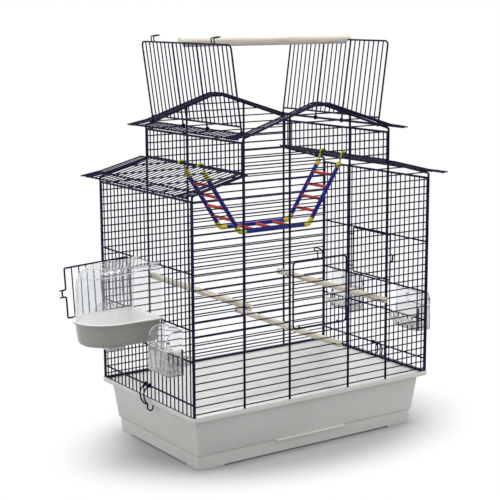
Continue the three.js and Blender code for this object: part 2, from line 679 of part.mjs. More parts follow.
// Tray
function tray() {
  const outline = (inset) => {
    const radius = Math.max(TRAY_CORNER_R - inset / 2, TRAY_WALL);
    return roundedRectangle(TRAY_HALF_X - inset, TRAY_HALF_Y - inset, radius, TRAY_CORNER_STEPS);
  };
  const rimFoot = RIM_TOP_Z - RIM_HEIGHT;
  let made = solid(loft([
    { z: 0, outline: outline(BASE_INSET) },
    { z: STEP_FOOT_Z, outline: outline(PLINTH_INSET) },
    { z: STEP_TOP_Z, outline: outline(WALL_FOOT_INSET) },
    { z: rimFoot, outline: outline(RIM_WIDTH) },
    { z: rimFoot, outline: outline(0) },
    { z: RIM_TOP_Z, outline: outline(0) },
  ]));
  const floorZ = RELIEF_HEIGHT + TRAY_WALL;
  const hollow = solid(loft([
    { z: floorZ, outline: outline(BASE_INSET + TRAY_WALL) },
    { z: STEP_FOOT_Z, outline: outline(PLINTH_INSET + TRAY_WALL) },
    { z: STEP_TOP_Z, outline: outline(WALL_FOOT_INSET + TRAY_WALL) },
    { z: RIM_TOP_Z + CUT_OVERRUN, outline: outline(RIM_WIDTH + TRAY_WALL) },
  ]));
  const pocket = solid(loft([
    { z: TRAY_WALL, outline: outline(RELIEF_INSET + TRAY_WALL) },
    { z: floorZ + CUT_OVERRUN, outline: outline(RELIEF_INSET + TRAY_WALL) },
  ]));
  const channelOuter = loft([
    { z: rimFoot - CUT_OVERRUN, outline: outline(RIM_WALL) },
    { z: RIM_TOP_Z - RIM_WALL, outline: outline(RIM_WALL) },
  ]);
  const channelInner = loft([
    { z: rimFoot - 2 * CUT_OVERRUN, outline: outline(RIM_WIDTH - SEAT) },
    { z: RIM_TOP_Z, outline: outline(RIM_WIDTH - SEAT) },
  ]);
  made = made.subtract(hollow).subtract(pocket).subtract(solid(channelOuter).subtract(solid(channelInner)));
  const reliefZ = (RELIEF_HEIGHT - CUT_OVERRUN) / 2;
  const reliefTall = RELIEF_HEIGHT + CUT_OVERRUN;
  for (const sign of [-1, 1]) {
    const front = at(0, sign * (TRAY_HALF_Y - RELIEF_INSET / 2), reliefZ);
    made = made.subtract(solid(box(2 * RELIEF_HALF_X, RELIEF_INSET, reliefTall, front)));
    const end = at(sign * (TRAY_HALF_X - RELIEF_INSET / 2), 0, reliefZ);
    made = made.subtract(solid(box(RELIEF_INSET, 2 * RELIEF_HALF_Y, reliefTall, end)));
  }
  for (const sy of [-1, 1]) {
    const y = sy * (TRAY_HALF_Y - PLINTH_INSET + LIP_DEPTH / 2 - TRAY_WALL / 2);
    made = made.add(solid(box(LIP_LENGTH, LIP_DEPTH + TRAY_WALL, LIP_THICK, at(0, y, STEP_FOOT_Z))));
  }
  return made;
}

// Bath in its own frame: X away from the panel's plane, centred on Y
function basin() {
  const plan = (inset) =>
    dOutline(BATH_CLEAR + inset, BATH_LENGTH - inset, BATH_HALF_WIDTH - inset, BATH_END, BATH_STEPS);
  const rimFoot = BASIN_RIM_Z - BASIN_RIM_THICK;
  const footInset = BASIN_RIM_WIDTH + BASIN_TAPER;
  const roundZ = BASIN_FOOT_Z + BASIN_ROUND;
  const shell = loft([
    { z: BASIN_FOOT_Z, outline: plan(footInset + BASIN_ROUND) },
    { z: BASIN_FOOT_Z + BASIN_ROUND / 4, outline: plan(footInset + BASIN_ROUND / 4) },
    { z: roundZ, outline: plan(footInset) },
    { z: rimFoot, outline: plan(BASIN_RIM_WIDTH) },
    { z: rimFoot, outline: plan(0) },
    { z: BASIN_RIM_Z, outline: plan(0) },
  ]);
  const hollow = loft([
    { z: BASIN_FOOT_Z + BASIN_WALL, outline: plan(footInset + BASIN_ROUND + BASIN_WALL) },
    { z: roundZ + BASIN_WALL, outline: plan(footInset + BASIN_WALL) },
    { z: BASIN_RIM_Z + CUT_OVERRUN, outline: plan(BASIN_RIM_WIDTH + BASIN_WALL) },
  ]);
  return solid(shell).subtract(solid(hollow));
}

function hood() {
  const plan = (side, end, flat) =>
    dOutline(flat, BATH_LENGTH - end, BATH_HALF_WIDTH - side, BATH_END, BATH_STEPS);
  const outer = [{ z: BASIN_RIM_Z + SEAT, outline: plan(HOOD_FOOT_INSET, HOOD_FOOT_INSET, BATH_CLEAR) }];
  const open = BATH_CLEAR - CUT_OVERRUN;
  const footIn = HOOD_FOOT_INSET + HOOD_WALL;
  const inner = [{ z: BASIN_RIM_Z - CUT_OVERRUN, outline: plan(footIn, footIn, open) }];
  for (const { z, side, end } of HOOD_LEVELS) {
    outer.push({ z, outline: plan(side, end, BATH_CLEAR) });
    inner.push({ z: z - HOOD_WALL, outline: plan(side + HOOD_WALL, end + HOOD_WALL, open) });
  }
  let made = solid(loft(outer)).subtract(solid(loft(inner)));
  const tabFoot = LEVEL_A_Z + CROSS_R + SEAT;
  const tabTop = tabFoot + TAB_THICK;
  const legFoot = HOOD_LEVELS[HOOD_LEVELS.length - 1].z - HOOD_WALL;
  const tab = [
    v2(BATH_CLEAR, legFoot), v2(TAB_LEG_U, legFoot), v2(TAB_LEG_U - TAB_THICK, tabTop),
    v2(-TAB_REACH, tabTop), v2(-TAB_REACH, tabFoot), v2(BATH_CLEAR, tabFoot),
  ];
  for (const y of [-TAB_HALF_PITCHES * PITCH, TAB_HALF_PITCHES * PITCH]) {
    made = made.add(solid(extruded(tab, TAB_WIDTH).translate(0, y, 0)));
  }
  return made;
}

// Feeder in its own frame: X away from the panel's plane, centred on Y
function trough() {
  const back = BATH_CLEAR;
  const wall = TROUGH_WALL;
  const front = TROUGH_DEPTH;
  const foot = TROUGH_FOOT_Z;
  const outer = [
    v2(back, foot), v2(front - TROUGH_ROUND, foot), v2(front, foot + TROUGH_ROUND),
    v2(front, TROUGH_TOP_Z), v2(back, TROUGH_TOP_Z),
  ];
  const top = TROUGH_TOP_Z + CUT_OVERRUN;
  const inner = [
    v2(back + wall, foot + wall), v2(front - TROUGH_ROUND - wall / 2, foot + wall),
    v2(front - wall, foot + TROUGH_ROUND + wall / 2), v2(front - wall, top),
    v2(back - CUT_OVERRUN, top), v2(back - CUT_OVERRUN, TROUGH_BACK_Z), v2(back + wall, TROUGH_BACK_Z),
  ];
  const hollow = solid(extruded(inner, TROUGH_WIDTH - 2 * wall));
  let made = solid(extruded(outer, TROUGH_WIDTH)).subtract(hollow);
  const earFoot = TROUGH_TOP_Z - wall;
  const ear = [
    v2(front - EAR_WIDTH, earFoot), v2(front, earFoot), v2(front, EAR_TOP_Z - wall),
    v2(front - wall, EAR_TOP_Z), v2(front - EAR_WIDTH / 2, EAR_TOP_Z),
  ];
  for (const sign of [-1, 1]) {
    made = made.add(solid(extruded(ear, wall).translate(0, (sign * (TROUGH_WIDTH - wall)) / 2, 0)));
  }
  return made;
}

function lidProfile(inset, backEdge, footEdge) {
  const points = [v2(backEdge, footEdge)];
  const front = TROUGH_DEPTH - inset;
  points.push(v2(front - EAR_WIDTH, footEdge), v2(front, LID_FRONT_Z));
  const radiusU = front - LID_CROWN_U;
  const radiusZ = LID_TOP_Z - inset - LID_PIVOT_Z;
  const steps = 5;
  for (let i = 0; i <= steps; i++) {
    const turn = (i * QUARTER) / steps;
    points.push(v2(LID_CROWN_U + radiusU * Math.cos(turn), LID_PIVOT_Z + radiusZ * Math.sin(turn)));
  }
  points.push(v2(backEdge, LID_TOP_Z - inset));
  return points;
}

function lid() {
  const width = TROUGH_WIDTH - 2 * TROUGH_WALL - 2 * SEAT;
  const outer = lidProfile(0, BATH_CLEAR, TROUGH_TOP_Z + SEAT);
  const inner = lidProfile(TROUGH_WALL, BATH_CLEAR - CUT_OVERRUN, TROUGH_TOP_Z + SEAT - CUT_OVERRUN);
  const made = solid(extruded(outer, width)).subtract(solid(extruded(inner, width - 2 * TROUGH_WALL)));
  return made.translate([-LID_PIVOT_U, 0, -LID_PIVOT_Z]);
}

function scoop() {
  const wall = SCOOP_WALL;
  const hookIn = BATH_CLEAR;
  const hookOut = hookIn + wall;
  const bridgeTop = SCOOP_BRIDGE_Z + wall;
  const floorTop = SCOOP_FOOT_Z + wall;
  const front = -SCOOP_REACH;
  const hookFoot = SCOOP_BRIDGE_Z - SCOOP_HOOK;
  const outer = [
    v2(front + SCOOP_NOSE, SCOOP_FOOT_Z), v2(-SCOOP_BACK, SCOOP_FOOT_Z), v2(-SCOOP_BACK, SCOOP_BRIDGE_Z),
    v2(hookIn, SCOOP_BRIDGE_Z), v2(hookIn, hookFoot), v2(hookOut, hookFoot),
    v2(hookOut, bridgeTop + SCOOP_HOOK), v2(-SCOOP_BACK, SCOOP_CHEEK_Z),
    v2(front / 2, SCOOP_CHEEK_Z - SCOOP_HOOK), v2(front, SCOOP_LIP_Z), v2(front, SCOOP_FOOT_Z + SCOOP_NOSE),
  ];
  const top = SCOOP_CHEEK_Z + CUT_OVERRUN;
  const past = hookOut + CUT_OVERRUN;
  const backIn = -SCOOP_BACK - wall;
  const lipIn = front + wall;
  const inner = [
    v2(lipIn + SCOOP_NOSE - wall / 2, floorTop), v2(backIn, floorTop), v2(backIn, bridgeTop),
    v2(past, bridgeTop), v2(past, top), v2(lipIn, top), v2(lipIn, floorTop + SCOOP_NOSE - wall / 2),
  ];
  const hollow = solid(extruded(inner, SCOOP_WIDTH - 2 * wall));
  return solid(extruded(outer, SCOOP_WIDTH)).subtract(hollow);
}

// Perches
function rod(radius, length, sides) {
  return new THREE.CylinderGeometry(radius, radius, length, sides);
}

function perch() {
  const half = HALF_SPACING + PERCH_OVERHANG;
  let made = solid(rod(PERCH_R, 2 * half, 12));
  const slotHeight = 2 * FINE_R + SEAT + PERCH_SLACK;
  const slotZ = (SEAT - PERCH_SLACK) / 2;
  for (const sign of [-1, 1]) {
    const y = sign * (half - PERCH_SLOT_DEPTH / 2 + CUT_OVERRUN / 2);
    const slot = box(2 * PERCH_R + CUT_OVERRUN, PERCH_SLOT_DEPTH + CUT_OVERRUN, slotHeight, at(0, y, slotZ));
    made = made.subtract(solid(slot));
  }
  return made;
}

// The thick top perch: its upper half rests on both flaps' top bars, its lower half fits between them
const BAR_X = UPPER_HINGE_X + FLAP_LENGTH * Math.sin(FLAP_LEAN);
const BAR_Z = UPPER_HINGE_Z + FLAP_LENGTH * Math.cos(FLAP_LEAN);
const BAR_REACH = CROSS_R;

function topPerch() {
  const half = (BAR_X + TOP_PERCH_OVERHANG) / Math.cos(TOP_PERCH_SKEW);
  const sidestep = TOP_PERCH_R * Math.tan(TOP_PERCH_SKEW);
  const inner = (BAR_X - BAR_REACH - BAR_CLEAR) / Math.cos(TOP_PERCH_SKEW) - sidestep;
  let made = solid(rod(TOP_PERCH_R, 2 * half, 16).rotateZ(QUARTER));
  for (const sign of [-1, 1]) {
    const length = half - inner + CUT_OVERRUN;
    const centre = at(sign * (inner + length / 2), 0, -TOP_PERCH_R / 2 - CUT_OVERRUN / 2);
    const notch = box(length, 2 * TOP_PERCH_R + CUT_OVERRUN, TOP_PERCH_R + CUT_OVERRUN, centre);
    made = made.subtract(solid(notch));
  }
  return made;
}

// Ladder bridge: three pairs of rails, elbows between them, hooks at the tower walls
function rail(from, to) {
  const path = new THREE.LineCurve3(from, to);
  const run = path.getLength();
  const made = rod(RAIL_R, run, 8);
  made.applyQuaternion(new THREE.Quaternion().setFromUnitVectors(Y_AXIS, path.getTangent(0)));
  const middle = path.getPoint(0.5);
  return made.translate(middle.x, middle.y, middle.z);
}

const RAIL_GAUGE = { radius: FITTING_R, sides: 8, roll: Math.PI / 8 };
const HOOK_GAUGE = { radius: HOOK_WIRE_R, sides: 6, roll: Math.PI / 6 };

function ladder() {
  const meshes = [];
  const elbow = at(LADDER_ELBOW_X, 0, LADDER_ELBOW_Z);
  const top = at(LADDER_TOP_X, 0, LADDER_TOP_Z);
  const slant = top.clone().sub(elbow).normalize();
  const slope = slant.clone();
  const low = elbow.clone().addScaledVector(slope, ELBOW_LEG + SEAT);
  const high = top.clone().addScaledVector(slope, -SEAT);
  const hookX = (LOWER_TOP_X - HALF_TOWER) / 2 + POST_R + HOOK_CLEAR + HOOK_WIRE_R;
  const hookZ = POST_R + HOOK_CLEAR + HOOK_WIRE_R;
  const socketEnd = top.clone().addScaledVector(slope, SOCKET_LENGTH);
  const hookCentre = at((HALF_TOWER + LOWER_TOP_X) / 2, 0, TOWER_FOOT_Z);
  for (const side of [-1, 1]) {
    const sideName = side < 0 ? 'left' : 'right';
    const flip = (p, y) => at(side * p.x, y, p.z);
    for (const depth of [-1, 1]) {
      const place = `${sideName}_${depth < 0 ? 'front' : 'rear'}`;
      const y = LADDER_Y + depth * LADDER_HALF_WIDTH;
      meshes.push(mesh(`ladder_rail_${place}`, solid(rail(flip(low, y), flip(high, y))), RAIL_BLUE));
      const bend = [
        flip(elbow.clone().addScaledVector(slope, ELBOW_LEG), y),
        flip(elbow, y),
        at(side * (LADDER_ELBOW_X - ELBOW_LEG), y, LADDER_ELBOW_Z),
      ];
      const corner = solid(wire(bend, RAIL_GAUGE, Y_AXIS));
      meshes.push(mesh(`ladder_elbow_${place}`, corner, FITTING_YELLOW));
      const hook = [flip(socketEnd, y)];
      const steps = 6;
      for (let i = 0; i <= steps; i++) {
        const turn = Math.PI * (1.05 - (1.15 * i) / steps);
        const x = hookCentre.x + hookX * Math.cos(turn);
        hook.push(at(side * x, y, hookCentre.z + hookZ * Math.sin(turn)));
      }
      const socketTip = socketEnd.clone().addScaledVector(slope, HOOK_WIRE_R);
      const socket = wire([flip(top, y), flip(socketTip, y)], RAIL_GAUGE, Y_AXIS);
      const fitting = weld([socket, wire(hook, HOOK_GAUGE, Y_AXIS)]);
      meshes.push(mesh(`ladder_hook_${place}`, fitting, FITTING_YELLOW));
    }
    RUNG_SHARES.forEach((share, i) => {
      const place = low.clone().lerp(high, share);
      meshes.push(rung(`ladder_rung_${sideName}_${i + 1}`, side * place.x, place.z));
    });
  }
  const middleEnd = LADDER_ELBOW_X - ELBOW_LEG - SEAT;
  for (const depth of [-1, 1]) {
    const y = LADDER_Y + depth * LADDER_HALF_WIDTH;
    const from = at(-middleEnd, y, LADDER_ELBOW_Z);
    const to = at(middleEnd, y, LADDER_ELBOW_Z);
    const name = `ladder_rail_middle_${depth < 0 ? 'front' : 'rear'}`;
    meshes.push(mesh(name, solid(rail(from, to)), RAIL_BLUE));
  }
  MIDDLE_RUNG_SHARES.forEach((share, i) => {
    meshes.push(rung(`ladder_rung_middle_${i + 1}`, middleEnd * (2 * share - 1), LADDER_ELBOW_Z));
  });
  return meshes;
}

function rung(name, x, z) {
  const length = 2 * (LADDER_HALF_WIDTH - RAIL_R - SEAT);
  const made = mesh(name, solid(rod(RUNG_R, length, 6)), RUNG_RED);
  made.position.set(x, LADDER_Y, z);
  return made;
}

// Tray clip in its own frame: the origin on the lowest cross wire, X outwards
function clip() {
  const wires = [];
  const tipZ = RIM_TOP_Z - RIM_HEIGHT - SEAT - CLIP_R - LEVEL_D_Z;
  const legU = CLIP_LEG_U - SIDE_CROSS_STEP;
  const bowU = CLIP_BOW_U - SIDE_CROSS_STEP;
  const hookU = CLIP_HOOK_U - SIDE_CROSS_STEP;
  for (const y of [-PITCH, PITCH]) {
    wires.push(eye(at(0, y, 0), CLIP_EYE_R, CLIP, Y_AXIS));
    const leg = [at(CLIP_EYE_R, y, 0), at(bowU, y, -CLIP_BOW_DROP), at(legU, y, -CLIP_BAR_DROP)];
    wires.push(wire(leg, CLIP, Y_AXIS));
  }
  const barHalf = PITCH + CLIP_R;
  wires.push(wire([at(legU, -barHalf, -CLIP_BAR_DROP), at(legU, barHalf, -CLIP_BAR_DROP)], CLIP, X_AXIS));
  for (const y of [-CLIP_HOOK_HALF, CLIP_HOOK_HALF]) {
    const hook = [
      at(legU, y, -CLIP_BAR_DROP),
      at(legU, y, -CLIP_HOOK_DROP),
      at(hookU, y, -CLIP_HOOK_DROP),
      at(hookU, y, tipZ),
    ];
    wires.push(wire(hook, CLIP, Y_AXIS));
  }
  const tip = CLIP_HOOK_HALF + CLIP_R;
  wires.push(wire([at(hookU, -tip, -CLIP_HOOK_DROP), at(hookU, tip, -CLIP_HOOK_DROP)], CLIP, X_AXIS));
  return weld(wires);
}

// Assembly
const cage = new THREE.Group();
cage.add(mesh('tray', tray(), TRAY_IVORY));
cage.add(group(at(0, -HALF_SPACING, 0), 0, mesh('front_panel', housePanel(true), WIRE_BLUE)));
cage.add(group(at(0, HALF_SPACING, 0), Math.PI, mesh('back_panel', housePanel(false), WIRE_BLUE)));
cage.add(mesh('upper_roof_frame', upperRoof(), WIRE_BLUE));

for (const { name, side, hinge, cutPitches } of SIDE_DOORS) {
  const out = side < 0 ? Math.PI : 0;
  const wall = mesh(`${name}_side_panel`, sidePanel(side, hinge, cutPitches), WIRE_BLUE);
  cage.add(group(at(side * HALF_BODY, 0, 0), 0, wall));
  cage.add(group(at(side * HALF_TOWER, 0, 0), 0, mesh(`${name}_tower_side`, towerSide(), WIRE_BLUE)));
  cage.add(mesh(`${name}_lower_roof`, lowerRoof(side), WIRE_BLUE));
  const roofFlap = mesh(`${name}_roof_flap`, flap(side < 0 ? 1 : 0), WIRE_BLUE);
  roofFlap.position.set(side * UPPER_HINGE_X, FLAP_Y, UPPER_HINGE_Z);
  roofFlap.rotation.y = side * FLAP_LEAN;
  cage.add(roofFlap);
  const clipX = side * (HALF_BODY + SIDE_CROSS_STEP);
  cage.add(group(at(clipX, CLIP_Y, LEVEL_D_Z), out, mesh(`${name}_tray_clip`, clip(), WIRE_BLUE)));
  for (const feeder of FEEDERS) {
    const place = `${name}_${feeder.name}_feeder`;
    const feederLid = mesh(`${place}_lid`, lid(), CLEAR);
    feederLid.position.set(LID_PIVOT_U, 0, LID_PIVOT_Z);
    const scoopMesh = mesh(`${place}_scoop`, scoop(), BATH_WHITE);
    const troughMesh = mesh(`${place}_trough`, trough(), CLEAR);
    cage.add(group(at(side * HALF_BODY, feeder.y, 0), out, troughMesh, scoopMesh, feederLid));
  }
}

const bath = group(at(-HALF_BODY, BATH_PITCH * PITCH, 0), Math.PI, mesh('bath_basin', basin(), BATH_WHITE),
  mesh('bath_hood', hood(), CLEAR));
cage.add(bath);

// Doors: the front one is hinged along its foot, the side ones along an upright
const frontReach = FRONT_DOOR_ROWS * PITCH;
const frontDoor = mesh('front_door',
  door(FRONT_DOOR_WIDTH, frontReach, FRONT_DOOR_OFFSET, FRONT_DOOR_ROWS - 1, false, 0), WIRE_BLUE);
frontDoor.position.set((BAY_LEFT_X + BAY_RIGHT_X) / 2, -HALF_SPACING, rowZ(FRONT_DOOR_ROW));
cage.add(frontDoor);

const sideDoorZ = (LEVEL_A_Z + LEVEL_B_Z) / 2;
for (const { name, side, hinge, reach } of SIDE_DOORS) {
  const sag = side < 0 ? LEFT_DOOR_SAG : 0;
  const wires = door(SIDE_DOOR_HEIGHT, reach, DOOR_OFFSET, SIDE_DOOR_FINES, true, sag);
  const made = mesh(`${name}_door`, wires, WIRE_BLUE);
  const reachDirection = side < 0 ? at(-1, 0, 0) : at(0, -1, 0);
  const outward = side < 0 ? at(0, 1, 0) : at(1, 0, 0);
  const along = outward.clone().negate().cross(reachDirection);
  const turn = new THREE.Matrix4();
  turn.makeBasis(along, outward.clone().negate(), reachDirection);
  made.quaternion.setFromRotationMatrix(turn);
  made.rotateY(sag);
  made.position.set(side * HALF_BODY, hinge * PITCH, sideDoorZ);
  cage.add(made);
}

// Perches: each end's slot takes a row of the front and back panels
const perches = [
  { name: 'left_perch', x: -165, row: 13 },
  { name: 'middle_perch', x: 50, row: 6 },
  { name: 'right_perch', x: 165, row: 11 },
];
for (const { name, x, row } of perches) {
  const made = mesh(name, perch(), PALE_WOOD);
  made.position.set(x, 0, rowZ(row));
  cage.add(made);
}
const crown = mesh('top_perch', topPerch(), PALE_WOOD);
crown.position.set(0, TOP_PERCH_Y, BAR_Z + CROSS_R + SEAT);
crown.rotation.z = -TOP_PERCH_SKEW;
cage.add(crown);

cage.add(...ladder());

export default cage;
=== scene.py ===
import json
import math

import bpy
from mathutils import Matrix, Vector


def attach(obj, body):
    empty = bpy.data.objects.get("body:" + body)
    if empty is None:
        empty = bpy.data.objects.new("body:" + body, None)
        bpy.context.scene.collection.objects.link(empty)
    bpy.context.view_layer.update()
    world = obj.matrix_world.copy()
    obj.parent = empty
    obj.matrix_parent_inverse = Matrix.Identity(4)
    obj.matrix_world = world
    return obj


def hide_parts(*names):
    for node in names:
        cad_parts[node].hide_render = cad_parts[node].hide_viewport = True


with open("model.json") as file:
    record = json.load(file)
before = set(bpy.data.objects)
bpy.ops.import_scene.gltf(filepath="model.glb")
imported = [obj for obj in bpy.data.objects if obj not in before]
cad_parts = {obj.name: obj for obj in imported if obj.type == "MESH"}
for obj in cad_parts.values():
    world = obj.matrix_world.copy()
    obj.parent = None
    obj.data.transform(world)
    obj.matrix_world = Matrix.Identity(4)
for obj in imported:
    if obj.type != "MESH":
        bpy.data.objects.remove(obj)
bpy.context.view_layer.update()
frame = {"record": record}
BODIES = frame["record"]["behaviour"]["bodies"]
BODY_OF = {name: body for body, names in BODIES.items() for name in names}

# Sizes of the cage, as the CAD states them: the wires' pitch and radii, and their places
PITCH = 14.8
POST = 1.9
CROSS = 1.4
FINE = 0.9
SEAT = 0.3
HALF_BODY = 285.0
HALF_SPACING = 176.0
HALF_TOWER = 174.35
RIM_TOP = 115.5
BASE_WIRE = RIM_TOP + SEAT + POST * math.cos(math.pi / 6)
FIRST_ROW = BASE_WIRE + 4.0
LEVEL_D, LEVEL_C, LEVEL_B, LEVEL_A = 140.3, 222.9, 283.5, 389.7
SIDE_TOP = 523.2
TOWER_FOOT, TOWER_TOP = 567.6, 623.6
SIDE_CROSS = 2.3
TOWER_STEP = 2.6
BAY_STEP = 2.9
WELD_REACH = 1.5
WELD_BITE = 0.4

# Drawn here only: the enamel on the wires, and the seat in the tray's rim that takes the foot wires
ENAMEL = 0.4
ROOF_ENAMEL = 0.2
RIM_SEAT = RIM_TOP - 5.5
FOOT_WIRE = RIM_SEAT + POST + ENAMEL


def mm(x, y, z):
    return Vector((x, y, z)) / 1000.0


# Camera at the photograph's place
def aim_camera():
    azimuth, elevation, roll = math.radians(34.228), math.radians(10.575), math.radians(-0.311)
    ahead = Vector((
        math.sin(azimuth) * math.cos(elevation),
        math.cos(azimuth) * math.cos(elevation),
        -math.sin(elevation),
    ))
    right = Vector((math.cos(azimuth), -math.sin(azimuth), 0.0))
    up = right.cross(ahead)
    across = right * math.cos(roll) + up * math.sin(roll)
    upward = up * math.cos(roll) - right * math.sin(roll)
    data = bpy.data.cameras.new("camera")
    data.sensor_width = 36.0
    data.lens = 94.82
    data.clip_end = 60.0
    camera = bpy.data.objects.new("camera", data)
    bpy.context.scene.collection.objects.link(camera)
    turn = Matrix((across, upward, -ahead)).transposed()
    camera.matrix_world = Matrix.Translation(mm(-1525.1, -2184.9, 875.3)) @ turn.to_4x4()
    bpy.context.scene.camera = camera


aim_camera()


# Helpers for work by hand in edit mode
def deselect_all():
    bpy.ops.object.select_all(action="DESELECT")


def pick(piece):
    deselect_all()
    piece.select_set(True)
    bpy.context.view_layer.objects.active = piece


def edit(piece=None):
    if piece is not None:
        pick(piece)
    bpy.ops.object.mode_set(mode="EDIT")
    bpy.ops.mesh.select_mode(type="VERT")
    bpy.ops.mesh.select_all(action="SELECT")


def leave_edit():
    bpy.ops.object.mode_set(mode="OBJECT")


def choose(kind, test):
    """Selects the vertices, edges or faces of the piece in edit mode that pass a test."""
    bpy.ops.mesh.select_mode(type={"vertices": "VERT", "edges": "EDGE", "polygons": "FACE"}[kind])
    bpy.ops.mesh.select_all(action="DESELECT")
    leave_edit()
    mesh = bpy.context.object.data
    for item in getattr(mesh, kind):
        if kind == "edges":
            ends = [mesh.vertices[i].co for i in item.vertices]
            item.select = test(*ends)
        elif kind == "polygons":
            item.select = test(item.center, item.normal)
        else:
            item.select = test(item.co)
    bpy.ops.object.mode_set(mode="EDIT")


def apply_place(piece):
    pick(piece)
    bpy.ops.object.transform_apply(location=True, rotation=True, scale=True)
    return piece


def smooth(piece, degrees=35.0):
    pick(piece)
    bpy.ops.object.shade_smooth_by_angle(angle=math.radians(degrees))
    return piece


def modify(piece, kind, **values):
    pick(piece)
    modifier = piece.modifiers.new(kind.title(), kind)
    for key, value in values.items():
        setattr(modifier, key, value)
    bpy.ops.object.modifier_apply(modifier=modifier.name)


def recalculate(piece):
    edit(piece)
    bpy.ops.mesh.remove_doubles(threshold=1e-6)
    bpy.ops.mesh.normals_make_consistent(inside=False)
    leave_edit()


def join(*pieces):
    deselect_all()
    for piece in pieces:
        piece.select_set(True)
    bpy.context.view_layer.objects.active = pieces[0]
    bpy.ops.object.join()
    return pieces[0]


def block(low, high, rounding=0.0):
    """A block between two corners, in millimetres, with rounded edges."""
    low, high = mm(*low), mm(*high)
    deselect_all()
    bpy.ops.mesh.primitive_cube_add(size=1.0, location=(low + high) / 2, scale=high - low)
    piece = apply_place(bpy.context.object)
    if rounding:
        modify(piece, "BEVEL", width=rounding / 1000, segments=3, limit_method="NONE")
    return piece


def bevel(piece, width, degrees, segments):
    """Rounds the edges that are sharper than an angle, by a width in millimetres."""
    modify(piece, "BEVEL", width=width / 1000, segments=segments,
           limit_method="ANGLE", angle_limit=math.radians(degrees))


def cut(piece, tool):
    modify(piece, "BOOLEAN", operation="DIFFERENCE", solver="EXACT", object=tool)
    bpy.data.objects.remove(tool)


def strands(paths, radius, bend=0.0, roundness=2, turn=None):
    """Round wires along paths of points: drawn as edges, bent at their corners, then thickened."""
    if turn is not None:
        paths = [[turn @ point for point in path] for path in paths]
    tip = paths[0][0]
    deselect_all()
    bpy.ops.mesh.primitive_plane_add(size=0.001, location=tip)
    piece = bpy.context.object
    edit()
    bpy.ops.mesh.merge(type="CENTER")
    for number, path in enumerate(paths):
        if number:
            bpy.ops.mesh.duplicate_move(TRANSFORM_OT_translate={"value": path[0] - tip})
            tip = path[0]
        for point in path[1:]:
            bpy.ops.mesh.extrude_vertices_move(TRANSFORM_OT_translate={"value": point - tip})
            tip = point
    bpy.ops.mesh.select_all(action="SELECT")
    bpy.ops.mesh.remove_doubles(threshold=2e-6)
    if bend:
        bpy.ops.mesh.bevel(affect="VERTICES", offset=bend / 1000, segments=4, clamp_overlap=True)
    leave_edit()
    bpy.ops.object.convert(target="CURVE")
    curve = bpy.context.object.data
    curve.bevel_depth = radius / 1000
    curve.bevel_resolution = roundness
    curve.use_fill_caps = True
    bpy.ops.object.convert(target="MESH")
    piece = apply_place(bpy.context.object)
    return smooth(piece, 50.0)


def wires(paths, gauge, enamel=ENAMEL, **shape):
    """Steel wires of a gauge, with the enamel on them."""
    return strands(paths, gauge + enamel, **shape)


def ring(centre, radius, along="Y", steps=14):
    """The closed path of a wire eye round an axis through its centre."""
    points = []
    for step in range(steps + 1):
        angle = 2 * math.pi * (step % steps) / steps
        c, s = radius * math.cos(angle), radius * math.sin(angle)
        points.append(centre + (mm(0, c, s) if along == "X" else mm(s, 0, c)))
    return points


def rod(start, end, radius, sides=24, rounding=0.5):
    """A round bar between two points in metres."""
    run = end - start
    deselect_all()
    bpy.ops.mesh.primitive_cylinder_add(vertices=sides, radius=radius / 1000, depth=run.length)
    piece = bpy.context.object
    if rounding:
        bevel(piece, rounding, 50, 2)
    turn = Vector((0, 0, 1)).rotation_difference(run).to_matrix().to_4x4()
    piece.matrix_world = Matrix.Translation((start + end) / 2) @ turn
    return smooth(apply_place(piece), 40.0)


# Shared effects, built once as node groups
def new_group(name, inputs, outputs):
    tree = bpy.data.node_groups.new(name, "ShaderNodeTree")
    for label, kind, value in inputs:
        socket = tree.interface.new_socket(label, in_out="INPUT", socket_type=kind)
        socket.default_value = value
    for label, kind in outputs:
        tree.interface.new_socket(label, in_out="OUTPUT", socket_type=kind)
    return tree, tree.nodes.new("NodeGroupInput"), tree.nodes.new("NodeGroupOutput")


def fill(made, inputs):
    for label, value in inputs.items():
        made.inputs[label].default_value = value


def node(tree, kind, inputs=None, **values):
    """A new node with constants on its inputs and values for its settings."""
    made = tree.nodes.new(kind)
    for key, value in values.items():
        setattr(made, key, value)
    fill(made, inputs or {})
    return made


def link(tree, source, label, target, target_label):
    tree.links.new(source.outputs[label], target.inputs[target_label])


def stretched(tree):
    """Stretches the middle of a noise over the whole range."""
    return node(tree, "ShaderNodeMapRange", {"From Min": 0.3, "From Max": 0.7})


def cloudy_tone():
    """A colour that drifts a little lighter and darker in soft clouds."""
    tree, given, result = new_group(
        "cloudy tone",
        [("Light", "NodeSocketColor", (1, 1, 1, 1)), ("Dark", "NodeSocketColor", (0, 0, 0, 1)),
         ("Scale", "NodeSocketFloat", 20.0)],
        [("Color", "NodeSocketColor")],
    )
    place = node(tree, "ShaderNodeTexCoord")
    noise = node(tree, "ShaderNodeTexNoise", {"Detail": 4.0})
    spread = stretched(tree)
    mix = node(tree, "ShaderNodeMix", data_type="RGBA")
    link(tree, place, "Object", noise, "Vector")
    link(tree, given, "Scale", noise, "Scale")
    link(tree, noise, "Fac", spread, "Value")
    link(tree, spread, "Result", mix, 0)
    link(tree, given, "Dark", mix, 6)
    link(tree, given, "Light", mix, 7)
    link(tree, mix, 2, result, "Color")
    return tree


